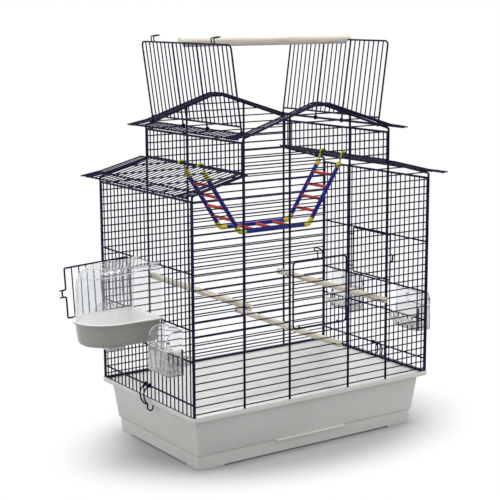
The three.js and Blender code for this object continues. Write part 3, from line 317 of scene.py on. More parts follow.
def fine_grain():
    """A moulded or brushed-on grain: a height, and a roughness that goes with it."""
    tree, given, result = new_group(
        "fine grain",
        [("Scale", "NodeSocketFloat", 900.0), ("Smooth", "NodeSocketFloat", 0.3),
         ("Rough", "NodeSocketFloat", 0.45)],
        [("Height", "NodeSocketFloat"), ("Roughness", "NodeSocketFloat")],
    )
    place = node(tree, "ShaderNodeTexCoord")
    grain = node(tree, "ShaderNodeTexNoise", {"Detail": 3.0})
    patches = node(tree, "ShaderNodeTexNoise", {"Scale": 14.0})
    spread = stretched(tree)
    link(tree, place, "Object", grain, "Vector")
    link(tree, place, "Object", patches, "Vector")
    link(tree, given, "Scale", grain, "Scale")
    link(tree, patches, "Fac", spread, "Value")
    link(tree, given, "Smooth", spread, "To Min")
    link(tree, given, "Rough", spread, "To Max")
    link(tree, grain, "Fac", result, "Height")
    link(tree, spread, "Result", result, "Roughness")
    return tree


CLOUDY = cloudy_tone()
GRAIN = fine_grain()


def use(tree, group, **values):
    made = tree.nodes.new("ShaderNodeGroup")
    made.node_tree = group
    fill(made, values)
    return made


def new_material(name):
    material = bpy.data.materials.new(name)
    material.use_nodes = True
    tree = material.node_tree
    shader = tree.nodes["Principled BSDF"]
    return material, tree, shader


def moulded(name, light, dark, rough, grain=1000.0, height=0.06, coat=0.0, clouds=9.0, gloss=0.5):
    """Enamel or moulded plastic: a cloudy colour, uneven gloss and a fine grain."""
    material, tree, shader = new_material(name)
    tone = use(tree, CLOUDY, Light=(*light, 1), Dark=(*dark, 1), Scale=clouds)
    skin = use(tree, GRAIN, Scale=grain, Smooth=rough[0], Rough=rough[1])
    bump = node(tree, "ShaderNodeBump", {"Strength": height, "Distance": 0.0004})
    link(tree, tone, "Color", shader, "Base Color")
    link(tree, skin, "Roughness", shader, "Roughness")
    link(tree, skin, "Height", bump, "Height")
    link(tree, bump, "Normal", shader, "Normal")
    fill(shader, {"Specular IOR Level": gloss, "Coat Weight": coat, "Coat Roughness": 0.12})
    return material


def clear_moulding(name, tint, smooth_gloss, rough_gloss):
    """Clear plastic that lets the lamps through, with faint clouds in its gloss."""
    material, tree, shader = new_material(name)
    skin = use(tree, GRAIN, Scale=60.0, Smooth=smooth_gloss, Rough=rough_gloss)
    light = node(tree, "ShaderNodeLightPath")
    solid = node(tree, "ShaderNodeMapRange", {"To Min": 1.0, "To Max": 0.12})
    link(tree, skin, "Roughness", shader, "Roughness")
    link(tree, light, "Is Shadow Ray", solid, "Value")
    link(tree, solid, "Result", shader, "Alpha")
    fill(shader, {"Base Color": (*tint, 1), "IOR": 1.3, "Transmission Weight": 0.95})
    return material


def frosted_edge():
    """The whitish cut edge of clear plastic."""
    material, tree, shader = new_material("frosted edge")
    skin = use(tree, GRAIN, Scale=700.0, Smooth=0.25, Rough=0.45)
    tone = use(tree, CLOUDY, Light=(0.93, 0.94, 0.95, 1), Dark=(0.82, 0.84, 0.86, 1), Scale=30.0)
    link(tree, tone, "Color", shader, "Base Color")
    link(tree, skin, "Roughness", shader, "Roughness")
    fill(shader, {"IOR": 1.45, "Transmission Weight": 0.35})
    return material


def pale_wood(name, turn, dark, light):
    """Unfinished dowel wood; its grain runs along X turned by `turn` degrees."""
    material, tree, shader = new_material(name)
    place = node(tree, "ShaderNodeTexCoord")
    along = node(tree, "ShaderNodeMapping", vector_type="TEXTURE")
    fill(along, {"Rotation": (0.0, 0.0, math.radians(turn)), "Scale": (0.83, 0.05, 0.05)})
    fibres = node(tree, "ShaderNodeTexNoise", {"Scale": 14.0, "Detail": 3.0, "Roughness": 0.6})
    ramp = node(tree, "ShaderNodeValToRGB")
    ramp.color_ramp.elements[0].position = 0.34
    ramp.color_ramp.elements[0].color = (*dark, 1)
    ramp.color_ramp.elements[1].position = 0.62
    ramp.color_ramp.elements[1].color = (*light, 1)
    middle = ramp.color_ramp.elements.new(0.48)
    middle.color = (*[(3 * b + a) / 4 for a, b in zip(dark, light)], 1)
    skin = use(tree, GRAIN, Scale=420.0, Smooth=0.55, Rough=0.8)
    fill(shader, {"Specular IOR Level": 0.12})
    link(tree, place, "Object", along, "Vector")
    link(tree, along, "Vector", fibres, "Vector")
    link(tree, fibres, "Fac", ramp, "Fac")
    link(tree, ramp, "Color", shader, "Base Color")
    link(tree, skin, "Roughness", shader, "Roughness")
    return material


NAVY = moulded("navy enamel", (0.008, 0.0065, 0.052), (0.003, 0.0025, 0.022), (0.3, 0.45),
               grain=1500.0, height=0.1, clouds=30.0, gloss=0.1)
IVORY = moulded("ivory tray", (0.73, 0.725, 0.70), (0.67, 0.665, 0.64), (0.38, 0.52),
                grain=1300.0, height=0.12)
# A lighter copy of the tray's ivory for its inside: painted light where the lamps fall into the
# tray. The outside keeps the plain ivory.
LIT_TRAY_INSIDE = moulded("ivory inside, painted light", (0.95, 0.945, 0.93), (0.91, 0.905, 0.89), (0.34, 0.48),
                 grain=1300.0, height=0.1)
# Two copies of the basin's white plastic: a dark one for its outside walls, which is painted shade,
# and a light one for its inside and rim top, which is painted light.
SHADED_BASIN_OUTSIDE = moulded("basin outside, painted shade", (0.39, 0.375, 0.343), (0.35, 0.335, 0.303), (0.26, 0.4))
LIT_BASIN_INSIDE = moulded("basin inside, painted light", (0.87, 0.86, 0.845), (0.82, 0.81, 0.795), (0.2, 0.34))
WHITE = moulded("white moulding", (0.86, 0.855, 0.84), (0.80, 0.795, 0.78), (0.26, 0.4))
CLEAR = clear_moulding("clear moulding", (0.885, 0.895, 0.905), 0.01, 0.03)
CLOUDED = clear_moulding("clouded moulding", (0.79, 0.795, 0.80), 0.05, 0.13)
FROST = frosted_edge()
WOOD = pale_wood("pale dowel", 90.0, (0.53, 0.455, 0.35), (0.76, 0.70, 0.60))
PERCH_SKEW = 5.5
# The top perch's wood has its grain turned to run along the perch. Its tone is lighter than the
# other perches' wood: painted light on the highest, most lit perch.
LIT_WOOD_ACROSS = pale_wood("pale dowel across, painted lighter", -PERCH_SKEW, (0.60, 0.545, 0.46), (0.82, 0.775, 0.70))
BLUE = moulded("blue plastic", (0.009, 0.010, 0.27), (0.005, 0.006, 0.18), (0.24, 0.38),
               height=0.05, coat=0.05, clouds=40.0, gloss=0.2)
RED = moulded("red plastic", (0.52, 0.028, 0.018), (0.38, 0.018, 0.012), (0.25, 0.4),
              height=0.05, coat=0.05, clouds=40.0, gloss=0.25)
YELLOW = moulded("yellow plastic", (0.70, 0.61, 0.03), (0.58, 0.49, 0.02), (0.25, 0.4),
                 height=0.05, coat=0.1, clouds=40.0, gloss=0.35)


def finished(piece, *finishes):
    """Adds finishes to a piece; its faces keep their numbers when it is joined to others."""
    for finish in finishes:
        piece.data.materials.append(finish)
    return piece


def stand_for(piece, name, slot, *finishes):
    """Puts a finished piece in the place of a CAD node."""
    piece.name = name + "_dressed"
    parts = [face.material_index for face in piece.data.polygons]
    piece.data.materials.clear()
    finished(piece, *finishes)
    for face, part in zip(piece.data.polygons, parts):
        face.material_index = min(part, len(finishes) - 1)
    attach(piece, BODY_OF[name])
    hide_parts(name)


# Roof lines that the front and back panels follow
LOWER_TOP_X, LOWER_TOP_Z = HALF_TOWER + POST + CROSS + 0.55, 566.0
LOWER_KINK_X, LOWER_KINK_Z = 275.0, 539.8
LOWER_EAVE_X, LOWER_EAVE_Z, LOWER_TIP_X = 308.0, 534.6, 318.0
HINGE_X, HINGE_Z = 164.0, 639.0
PEAK_HALF, UPPER_SLOPE, PEAK_DROP = 10.0, 0.3307, 2.0
UPPER_EAVE_X, UPPER_EAVE_Z, UPPER_TIP_X = 198.0, 633.0, 208.0
ROOF_HALF, BORDER = 195.9, 23.9
ROOF_WIRE_HALF = ROOF_HALF + 1.7
LOWER_SLOPE = (LOWER_TOP_Z - LOWER_KINK_Z) / (LOWER_KINK_X - LOWER_TOP_X)
SHOULDER_DROP = POST + SEAT + CROSS


def shoulder(x):
    """The height of a panel's frame wire under the lower roof."""
    drop = SHOULDER_DROP * math.hypot(1, LOWER_SLOPE)
    return LOWER_KINK_Z - drop - LOWER_SLOPE * (x - LOWER_KINK_X)


def rafter(x):
    """The height of a panel's frame wire under the upper roof."""
    drop = SHOULDER_DROP * math.hypot(1, UPPER_SLOPE)
    return HINGE_Z - drop - UPPER_SLOPE * (x - HINGE_X)


def row_z(number):
    return FIRST_ROW + number * PITCH


def row_half(z):
    """How far a row of a panel reaches to each side at a height."""
    if z < shoulder(HALF_BODY):
        return HALF_BODY
    reach = LOWER_KINK_X + (shoulder(LOWER_KINK_X) - z) / LOWER_SLOPE
    if reach > HALF_TOWER + POST:
        return reach
    if z < rafter(HALF_TOWER):
        return HALF_TOWER + WELD_REACH
    return HINGE_X + (rafter(HINGE_X) - z) / UPPER_SLOPE + 4.0


BAY_LEFT, BAY_RIGHT = -68.3, 76.0
DOOR_ROW, DOOR_ROWS = 9, 9
SHORTEST_ROW = 12.0


def house_panel(name, facing, doorway):
    """The front or back grille: house-shaped outline, tower and bay uprights, and fine rows."""
    def at(x, y, z):
        return mm(-facing * x, facing * (HALF_SPACING - y), z)

    join_x = HALF_TOWER - WELD_REACH
    eave_z, join_z = shoulder(HALF_BODY), shoulder(join_x)
    outline = [at(x, 0, z) for x, z in (
        (-join_x, join_z), (-HALF_BODY, eave_z), (-HALF_BODY, FOOT_WIRE),
        (HALF_BODY, FOOT_WIRE), (HALF_BODY, eave_z), (join_x, join_z),
    )]
    foot, side_z, peak_z = RIM_TOP + ENAMEL, rafter(HALF_TOWER), rafter(PEAK_HALF)
    tower = [at(x, -TOWER_STEP, z) for x, z in (
        (-HALF_TOWER, foot), (-HALF_TOWER, side_z), (-PEAK_HALF, peak_z),
        (PEAK_HALF, peak_z), (HALF_TOWER, side_z), (HALF_TOWER, foot),
    )]
    heavy = wires([outline, tower], POST, bend=3.5)
    uprights = wires([
        [at(x, -BAY_STEP, foot), at(x, -BAY_STEP, rafter(abs(x)))] for x in (BAY_LEFT, BAY_RIGHT)
    ], POST)
    rows = []
    number = 0
    while row_z(number) < rafter(PEAK_HALF):
        z = row_z(number)
        half = row_half(z)
        y = 0.0 if half >= HALF_TOWER + POST else -TOWER_STEP + POST + FINE - WELD_BITE
        cut_here = doorway and DOOR_ROW < number < DOOR_ROW + DOOR_ROWS
        spans = [(-half, BAY_LEFT), (BAY_RIGHT, half)] if cut_here else [(-half, half)]
        if half > SHORTEST_ROW:
            rows += [[at(start, y, z), at(end, y, z)] for start, end in spans]
        number += 1
    fine = wires(rows, FINE)
    stand_for(join(heavy, uprights, fine), name, "wire", NAVY)


house_panel("front_panel", -1, True)
house_panel("back_panel", 1, False)

# Side grilles
SIDE_END = HALF_SPACING - POST - SEAT
END_WIRE = SIDE_END - CROSS
SIDE_FINES = int((END_WIRE - 2 * CROSS) // PITCH)
FEEDERS = {"front": (-7, -110.0), "rear": (8, 115.0)}


def upright_spans(number, hinge, cut_pitches):
    """The heights that a fine upright covers, with the doorway and the feeding ports left out."""
    by_door = hinge - cut_pitches < number < hinge
    by_feeder = any(abs(number - pitch) <= 2 for pitch, _ in FEEDERS.values())
    spans = []
    start = FOOT_WIRE
    if by_feeder:
        spans.append((start, LEVEL_C + WELD_REACH))
        start = LEVEL_B - WELD_REACH
    if by_door:
        if not by_feeder:
            spans.append((start, LEVEL_B + WELD_REACH))
        start = LEVEL_A - WELD_REACH
    spans.append((start, SIDE_TOP))
    return spans


def side_panel(name, side, hinge, cut_pitches):
    x = side * HALF_BODY
    out = x + side * SIDE_CROSS
    rails = wires([[mm(x, -SIDE_END, z), mm(x, SIDE_END, z)] for z in (FOOT_WIRE, SIDE_TOP)], POST)
    levels = (LEVEL_A, LEVEL_B, LEVEL_C, LEVEL_D)
    crossing = [[mm(out, -SIDE_END, z), mm(out, SIDE_END, z)] for z in levels]
    crossing += [[mm(x, y, FOOT_WIRE), mm(x, y, SIDE_TOP)] for y in (-END_WIRE, END_WIRE)]
    medium = wires(crossing, CROSS)
    thin = []
    for number in range(-SIDE_FINES, SIDE_FINES + 1):
        for low, high in upright_spans(number, hinge, cut_pitches):
            thin.append([mm(x, number * PITCH, low), mm(x, number * PITCH, high)])
    fine = wires(thin, FINE)
    stand_for(join(rails, medium, fine), name, "wire", NAVY)


side_panel("left_side_panel", -1, 4, 9)
side_panel("right_side_panel", 1, 5, 8)


TOWER_REACH = 3.3


def tower_side(name, side):
    x = side * HALF_TOWER
    end = HALF_SPACING + TOWER_REACH - POST - 1.5 * FINE - SEAT
    last = end - CROSS
    rails = wires([[mm(x, -end, z), mm(x, end, z)] for z in (TOWER_FOOT, TOWER_TOP)], POST)
    medium = wires([[mm(x, y, TOWER_FOOT), mm(x, y, TOWER_TOP)] for y in (-last, last)], CROSS)
    places = [number * PITCH for number in range(-SIDE_FINES, SIDE_FINES + 1)]
    fine = wires([[mm(x, y, TOWER_FOOT), mm(x, y, TOWER_TOP)] for y in places], FINE)
    stand_for(join(rails, medium, fine), name, "wire", NAVY)


tower_side("left_tower_side", -1)
tower_side("right_tower_side", 1)

# Roofs
BORDER_INNER = ROOF_HALF - BORDER
ROOF_FINES = int((BORDER_INNER - CROSS) // PITCH)
OVER_KINK = FINE + CROSS
OVER_EAVE = 2 * CROSS - 0.3


def lower_roof(name, side):
    top, kink = (LOWER_TOP_X, LOWER_TOP_Z), (LOWER_KINK_X, LOWER_KINK_Z)
    long_wires = [
        [mm(side * x, -ROOF_WIRE_HALF, z), mm(side * x, ROOF_WIRE_HALF, z)]
        for x, z in (top, kink, (LOWER_EAVE_X, LOWER_EAVE_Z))
    ]
    fall = (LOWER_KINK_Z + OVER_KINK - LOWER_EAVE_Z - OVER_EAVE) / (LOWER_EAVE_X - LOWER_KINK_X)
    tip = LOWER_EAVE_Z + OVER_EAVE - fall * (LOWER_TIP_X - LOWER_EAVE_X)

    def bent(y):
        over = (LOWER_KINK_X, LOWER_KINK_Z + OVER_KINK)
        return [mm(side * x, y, z) for x, z in (top, over, (LOWER_TIP_X, tip))]

    border = [bent(y) for y in (-ROOF_HALF, -BORDER_INNER, BORDER_INNER, ROOF_HALF)]
    middle = (ROOF_HALF + BORDER_INNER) / 2
    thin = [bent(y) for y in (-middle, middle)]
    thin += [bent(number * PITCH) for number in range(-ROOF_FINES, ROOF_FINES + 1)]
    straight = wires(long_wires, CROSS, ROOF_ENAMEL)
    medium = wires(border, CROSS, ROOF_ENAMEL, bend=3.0)
    fine = wires(thin, FINE, ROOF_ENAMEL, bend=3.0)
    stand_for(join(straight, medium, fine), name, "wire", NAVY)


lower_roof("left_lower_roof", -1)
lower_roof("right_lower_roof", 1)
EAVE_FALL = (HINGE_Z - UPPER_EAVE_Z) / (UPPER_EAVE_X - HINGE_X)
BORDER_BITE = 0.6
FLAP_HALF_PITCHES = 11
FLAP_LEAN = math.radians(8.0)
FLAP_TOP = 165.0


def upper_roof():
    long_wires = []
    thin = []
    tip_z = UPPER_EAVE_Z + OVER_EAVE - EAVE_FALL * (UPPER_TIP_X - UPPER_EAVE_X)
    for side in (-1, 1):
        for x, z in ((HINGE_X, HINGE_Z), (UPPER_EAVE_X, UPPER_EAVE_Z)):
            long_wires.append([mm(side * x, -ROOF_WIRE_HALF, z), mm(side * x, ROOF_WIRE_HALF, z)])
        for step in range(2 * FLAP_HALF_PITCHES):
            y = (step + 0.5 - FLAP_HALF_PITCHES) * PITCH
            thin.append([mm(side * HINGE_X, y, HINGE_Z), mm(side * UPPER_TIP_X, y, tip_z)])

    def bent(y, radius):
        hinge = HINGE_Z + CROSS + radius - BORDER_BITE
        eave = UPPER_EAVE_Z + CROSS + radius - BORDER_BITE
        tip = eave - EAVE_FALL * (UPPER_TIP_X - UPPER_EAVE_X)
        peak = hinge + UPPER_SLOPE * (HINGE_X - PEAK_HALF) - PEAK_DROP
        return [mm(x, y, z) for x, z in (
            (-UPPER_TIP_X, tip), (-HINGE_X, hinge), (-PEAK_HALF, peak),
            (PEAK_HALF, peak), (HINGE_X, hinge), (UPPER_TIP_X, tip),
        )]

    border = []
    border_thin = []
    for sign in (-1, 1):
        border += [bent(sign * ROOF_HALF, CROSS), bent(sign * BORDER_INNER, CROSS)]
        for share in (0.33, 0.67):
            border_thin.append(bent(sign * (BORDER_INNER + share * BORDER), FINE))
    straight = wires(long_wires, CROSS, ROOF_ENAMEL)
    medium = wires(border, CROSS, ROOF_ENAMEL, bend=3.0)
    light = wires(border_thin, FINE, ROOF_ENAMEL, bend=3.0)
    fine = wires(thin, FINE, ROOF_ENAMEL)
    stand_for(join(straight, medium, light, fine), "upper_roof_frame", "wire", NAVY)


upper_roof()


def roof_flap(name, side, latched):
    """A roof flap standing up from its hinge wire, leaning out a little."""
    hinge = Matrix.Translation(mm(side * HINGE_X, 4.0, HINGE_Z))
    turn = hinge @ Matrix.Rotation(side * FLAP_LEAN, 4, "Y")
    half = FLAP_HALF_PITCHES * PITCH
    eye = 3.4
    top, sill = FLAP_TOP, 13.0
    hoop = [mm(0, half, eye), mm(0, half, top), mm(0, -half, top), mm(0, -half, eye)]
    frame_wires = wires([hoop], CROSS, bend=9.0, turn=turn)
    straight = [[mm(0, -half, sill), mm(0, half, sill)]]
    straight += [[mm(0, number * PITCH, eye), mm(0, number * PITCH, top)] for number in (-3, 3)]
    bars = wires(straight, CROSS, turn=turn)
    eye_rows = (-FLAP_HALF_PITCHES, -3, 3, FLAP_HALF_PITCHES)
    eyes = wires([ring(mm(0, number * PITCH, 0), eye) for number in eye_rows], CROSS, turn=turn)
    thin = [
        [mm(0, number * PITCH, sill), mm(0, number * PITCH, top)]
        for number in range(1 - FLAP_HALF_PITCHES, FLAP_HALF_PITCHES) if abs(number) != 3
    ]
    pieces = [frame_wires, bars, eyes, wires(thin, FINE, turn=turn)]
    if latched:
        loops = []
        rise = top + 11.3
        for y in (8 * PITCH, -7 * PITCH):
            loops.append([
                mm(0, y - 5, top), mm(0, y - 5, rise), mm(15, y - 5, rise), mm(15, y + 5, rise),
                mm(0, y + 5, rise), mm(0, y + 5, top),
            ])
        pieces.append(wires(loops, FINE, bend=2.2, turn=turn))
    stand_for(join(*pieces), name, "wire", NAVY)


roof_flap("left_roof_flap", -1, True)
roof_flap("right_roof_flap", 1, False)

# Doors
FRONT_LATCH = [(-6, 0), (-6, 14), (-15, 19), (-13, 24), (2, 18), (6, 12), (6, 0)]


def wire_door(name, turn, length, reach, offset, fines, tongued, sag):
    """A door on two hinge eyes; its hinge wire is `length` long and it reaches `reach` across."""
    half = length / 2

    def on(u, v):
        return mm(u, -offset, v)

    if tongued:
        tip = reach + 8
        loop = [
            on(-half, 0), on(half, 0), on(half, reach), on(7, reach), on(7, tip),
            on(-7, tip), on(-7, reach), on(-half, reach), on(-half, 0),
        ]
        extra = wires([[on(u, tip), on(u, tip + 6)] for u in (-7, 7)], FINE, turn=turn)
    else:
        loop = [on(-half, 0), on(half, 0), on(half, reach), on(-half, reach), on(-half, 0)]
        extra = wires([[on(u, reach + v) for u, v in FRONT_LATCH]], FINE, bend=2.5, turn=turn)
    border = wires([loop], CROSS, bend=3.0 if tongued else 8.0, turn=turn)
    places = [(step + 1) * reach / (fines + 1) for step in range(fines)]
    thin = wires([[on(-half, v), on(half, v)] for v in places], FINE, turn=turn)
    hangers = []
    stems = []
    eye = 2.3
    for x in (-half * 0.72, half * 0.72):
        z = x * math.tan(sag)
        hangers.append(ring(mm(x, 0, z), eye, along="X", steps=10))
        stems.append([mm(x, -eye, z), mm(x, -offset, 0)])
    eyes = wires(hangers, FINE, turn=turn)
    stand_for(join(border, thin, eyes, wires(stems, FINE, turn=turn), extra), name, "wire", NAVY)


def door_turn(along, inward, reach, place, sag=0.0):
    turn = Matrix((along, inward, reach)).transposed().to_4x4()
    return Matrix.Translation(place) @ turn @ Matrix.Rotation(sag, 4, "Y")


front_place = mm((BAY_LEFT + BAY_RIGHT) / 2, -HALF_SPACING, row_z(DOOR_ROW))
front_turn = Matrix.Translation(front_place)
wire_door("front_door", front_turn, 130.0, DOOR_ROWS * PITCH, 4.2, DOOR_ROWS - 1, False, 0.0)
DOOR_Z = (LEVEL_A + LEVEL_B) / 2
SAG = math.radians(3.0)
left_turn = door_turn((0, 0, -1), (0, -1, 0), (-1, 0, 0), mm(-HALF_BODY, 4 * PITCH, DOOR_Z), SAG)
wire_door("left_door", left_turn, 99.0, 139.0, 5.6, 8, True, SAG)
right_turn = door_turn((0, 0, 1), (-1, 0, 0), (0, -1, 0), mm(HALF_BODY, 5 * PITCH, DOOR_Z))
wire_door("right_door", right_turn, 99.0, 126.0, 5.6, 8, True, 0.0)


def tray_clip(name, side):
    """A bent wire clip that hangs on the lowest cross wire and hooks under the tray's rim."""
    gauge = 1.2

    def at(u, y, z):
        return mm(side * (HALF_BODY + 2.5 + u), -0.5 * PITCH + y * side, LEVEL_D + z)

    leg, foot = 4.3, -38.5
    far, near = -10.3, 4.5
    bow = [(3.3, 0), (5.9, -3.0), (11.8, -9.0), (13.4, -18.5), (10.6, -29.5), (leg, foot)]
    hangers = [[at(u, y, z) for u, z in bow] for y in (far, near)]
    eyes = [ring(at(0, y, 0), 3.3) for y in (far, near)]
    bar = [[at(leg, far - 0.6, foot), at(leg, near + 0.6, foot)]]
    hooks = [[
        at(leg, near, foot), at(5.4, near - 0.8, foot - 7.6), at(4.2, near + 8.5, foot - 10.2),
        at(0.6, near + 10.0, foot - 9.0), at(-2.4, near + 10.0, foot + 0.6),
    ]]
    bent = [wires(hangers, gauge, bend=4.0), wires(eyes, gauge)]
    foot_wires = [wires(bar, gauge), wires(hooks, gauge, bend=2.2)]
    stand_for(join(*bent, *foot_wires), name, "wire", NAVY)


tray_clip("left_tray_clip", -1)
tray_clip("right_tray_clip", 1)


def draw_up(levels, centre=0.0):
    """Extrudes the selected outline through levels of length, width and height in millimetres."""
    length, width, height = levels[0]
    for next_length, next_width, next_height in levels[1:]:
        rise = (0, 0, (next_height - height) / 1000)
        bpy.ops.mesh.extrude_region_move(TRANSFORM_OT_translate={"value": rise})
        ratio = (next_length / length, next_width / width, 1)
        bpy.ops.transform.resize(value=ratio, center_override=(centre / 1000, 0, 0))
        length, width, height = next_length, next_width, next_height


TRAY_CORNER = 5.5


def tray():
    """The tray: a rounded plate drawn up and out, over its rim, and down inside to its floor."""
    levels = [
        (262.7, 152.7, 0.0), (264.3, 154.3, 27.6), (267.4, 157.4, 32.4), (276.3, 166.3, 107.8),
        (287.8, 177.8, 107.8), (287.8, 177.8, 106.0), (290.0, 180.0, 106.0),
        (290.0, 180.0, RIM_TOP), (288.6, 178.6, RIM_TOP), (288.6, 178.6, RIM_SEAT),
        (274.1, 164.1, RIM_SEAT), (264.8, 154.8, 32.4), (261.7, 151.7, 27.6), (260.1, 150.1, 5.6),
    ]
    deselect_all()
    bpy.ops.mesh.primitive_plane_add(size=1.0, location=(0, 0, 0))
    piece = bpy.context.object
    edit()
    bpy.ops.transform.resize(value=(2 * levels[0][0] / 1000, 2 * levels[0][1] / 1000, 1))
    bpy.ops.mesh.bevel(affect="VERTICES", offset=TRAY_CORNER / 1000, segments=6)
    draw_up(levels)
    leave_edit()
    recalculate(piece)
    bevel(piece, 0.65, 28, 3)
    # The plinth stands on its corners: its four sides are cut away a little underneath
    for sign in (-1, 1):
        y, x = sign * 155, sign * 265
        cut(piece, block((-205, y - 26, -1), (205, y + 26, 3)))
        cut(piece, block((x - 26, -107, -1), (x + 26, 107, 3)))
    lips = [
        block((-85, sign * 156.5 - 3, 26.1), (85, sign * 156.5 + 2.9, 29.1), 1.0)
        for sign in (-1, 1)
    ]
    piece = finished(join(piece, *lips), IVORY, LIT_TRAY_INSIDE)
    above = mm(0, 0, 200)
    # Faces inside the rim that face up and inwards take the lighter copy: painted light on the
    # tray's inside.
    for face in piece.data.polygons:
        x, y, z = face.center
        within = abs(x) < 0.2745 and abs(y) < 0.1645 and z > 0.005
        face.material_index = 1 if within and face.normal.dot(above - face.center) > 0 else 0
    stand_for(smooth(piece, 32.0), "tray", "tray", IVORY, LIT_TRAY_INSIDE)


tray()

# The bath on the left side, drawn in its own frame and then turned to face out
BATH_TURN = Matrix.Translation(mm(-HALF_BODY, -PITCH, 0)) @ Matrix.Rotation(math.pi, 4, "Z")
BATH_FLAT, BATH_LENGTH, BATH_HALF, BATH_END = 4.2, 160.0, 61.0, 66.0
HOOD_INSET = 5.2
SHOULDER_FOOT, SHOULDER_RISE = 360.0, 31.0
SIDE_FALL, END_FALL = 14.5, 41.0
SHELL = 1.8


def d_plate(flat, length, half, end, height):
    """A flat D: half an oval with straight sides to a flat back, left in edit mode and selected."""
    deselect_all()
    bpy.ops.mesh.primitive_circle_add(vertices=64, radius=1.0, location=mm(length - end, 0, height))
    piece = bpy.context.object
    apply_place(piece)
    centre = (length - end) / 1000
    edit(piece)
    middle = (centre, 0, height / 1000)
    bpy.ops.transform.resize(value=(end / 1000, half / 1000, 1), center_override=middle)
    choose("vertices", lambda co: co.x < centre - 1e-5)
    bpy.ops.mesh.delete(type="VERT")
    choose("vertices", lambda co: co.x < centre + 1e-5)
    back = (flat / 1000 - centre, 0, 0)
    bpy.ops.mesh.extrude_vertices_move(TRANSFORM_OT_translate={"value": back})
    bpy.ops.mesh.select_all(action="SELECT")
    bpy.ops.mesh.edge_face_add()
    return piece


def basin():
    """The bath's basin: a D with rounded ends drawn up outside, over its rim and down inside."""
    foot = 20.5
    levels = [
        (242.0, foot), (243.0, 15.5), (246.0, 11.0), (250.0, 9.2), (255.0, 8.4),
        (286.0, 4.6), (286.0, 0.0), (290.0, 0.0), (290.0, 3.2), (288.2, 6.6),
        (258.0, 10.8), (250.0, 13.0), (246.0, 17.0), (244.6, 24.0),
    ]
    span, centre = BATH_LENGTH - BATH_FLAT, (BATH_FLAT + BATH_LENGTH) / 2
    length, half = BATH_LENGTH - foot, BATH_HALF - foot
    piece = d_plate(BATH_FLAT + foot, length, half, BATH_END - 15, levels[0][0])
    draw_up([(span - 2 * inset, BATH_HALF - inset, height) for height, inset in levels], centre)
    leave_edit()
    recalculate(piece)
    bevel(piece, 0.9, 32, 3)
    middle = mm(centre, 0, 268.0)
    finished(piece, SHADED_BASIN_OUTSIDE, LIT_BASIN_INSIDE)
    # Faces that face the inside, and the rim's top, take the light copy (painted light). The
    # outside walls keep the dark copy (painted shade).
    for face in piece.data.polygons:
        inside = face.normal.dot(middle - face.center) > 0 and face.center.z > 0.2435
        face.material_index = 1 if inside or face.center.z > 0.2885 else 0
    piece.matrix_world = BATH_TURN
    stand_for(smooth(apply_place(piece), 40.0), "bath_basin", "white_plastic", SHADED_BASIN_OUTSIDE, LIT_BASIN_INSIDE)


basin()


def hood():
    """The clear hood: a D drawn up over its round shoulder, open below and towards the cage."""
    piece = d_plate(BATH_FLAT, BATH_LENGTH - HOOD_INSET, BATH_HALF - HOOD_INSET, BATH_END, 290.3)
    levels = [(290.3, HOOD_INSET, HOOD_INSET), (325.0, 6.2, 6.4)]
    for step in range(15):
        angle = math.pi / 28 * step
        height = SHOULDER_FOOT + SHOULDER_RISE * math.sin(angle)
        fall = 1 - math.cos(angle)
        levels.append((height, 7.5 + SIDE_FALL * fall, 8.0 + END_FALL * fall))
    span = BATH_LENGTH - BATH_FLAT
    draw_up([(span - end, BATH_HALF - side, height) for height, side, end in levels], BATH_FLAT)
    back = BATH_FLAT / 1000 + 1e-4
    choose("polygons", lambda centre, normal: centre.x < back or centre.z < 0.2904)
    bpy.ops.mesh.delete(type="FACE")
    leave_edit()
    recalculate(piece)
    if piece.data.polygons[0].normal.dot(piece.data.polygons[0].center - mm(60, 0, 330)) < 0:
        edit(piece)
        bpy.ops.mesh.flip_normals()
        leave_edit()
    rims_frosted(piece, CLEAR)
    tabs = []
    for sign in (-1, 1):
        y = sign * 2.5 * PITCH
        tabs.append(block((-1.0, y - 5.5, 391.4), (14.0, y + 5.5, 393.4), 0.6))
        tabs.append(block((4.4, y - 5.5, 389.8), (14.0, y + 5.5, 392.4), 0.4))
    # A whitish frosted bead along the shoulder: a painted highlight where the lamps' reflection
    # runs.
    shoulder_highlight = frosted_bead(shoulder_highlight_path(), 0.9)
    piece = join(piece, *tabs, shoulder_highlight)
    piece.matrix_world = BATH_TURN
    stand_for(smooth(apply_place(piece), 40.0), "bath_hood", "clear_plastic", CLEAR, FROST)


def shoulder_highlight_path():
    """A path on the hood's shoulder, from its flat side down round its oval end and back, for a
    frosted bead that is a painted highlight.
    """
    centre = BATH_LENGTH - HOOD_INSET - BATH_END
    points = []
    for step in range(-14, 15):
        turned = abs(step) / 14
        x, y = BATH_FLAT, 1.0
        if turned < 1:
            angle = math.pi / 2 * turned
            x, y = centre + BATH_END * math.cos(angle), math.sin(angle)
        height = 388.0 - 15.0 * (x - BATH_FLAT) / (BATH_LENGTH - BATH_FLAT)
        fall = 1 - math.sqrt(1 - ((height - SHOULDER_FOOT) / SHOULDER_RISE) ** 2)
        side, end = 7.2 + SIDE_FALL * fall, 7.7 + END_FALL * fall
        along = (BATH_LENGTH - end - BATH_FLAT) / (BATH_LENGTH - HOOD_INSET - BATH_FLAT)
        across = math.copysign(y, step) * (BATH_HALF - side)
        points.append(mm(BATH_FLAT + 0.6 + (x - BATH_FLAT) * along, across, height))
    return points


def frosted_bead(path, radius):
    return finished(strands([path], radius), FROST)


def rims_frosted(piece, body):
    """Gives an open shell its wall, with the frosted finish on the wall's cut edges."""
    finished(piece, body, FROST)
    modify(piece, "SOLIDIFY", thickness=SHELL / 1000, offset=-1.0, material_offset_rim=1)


hood()

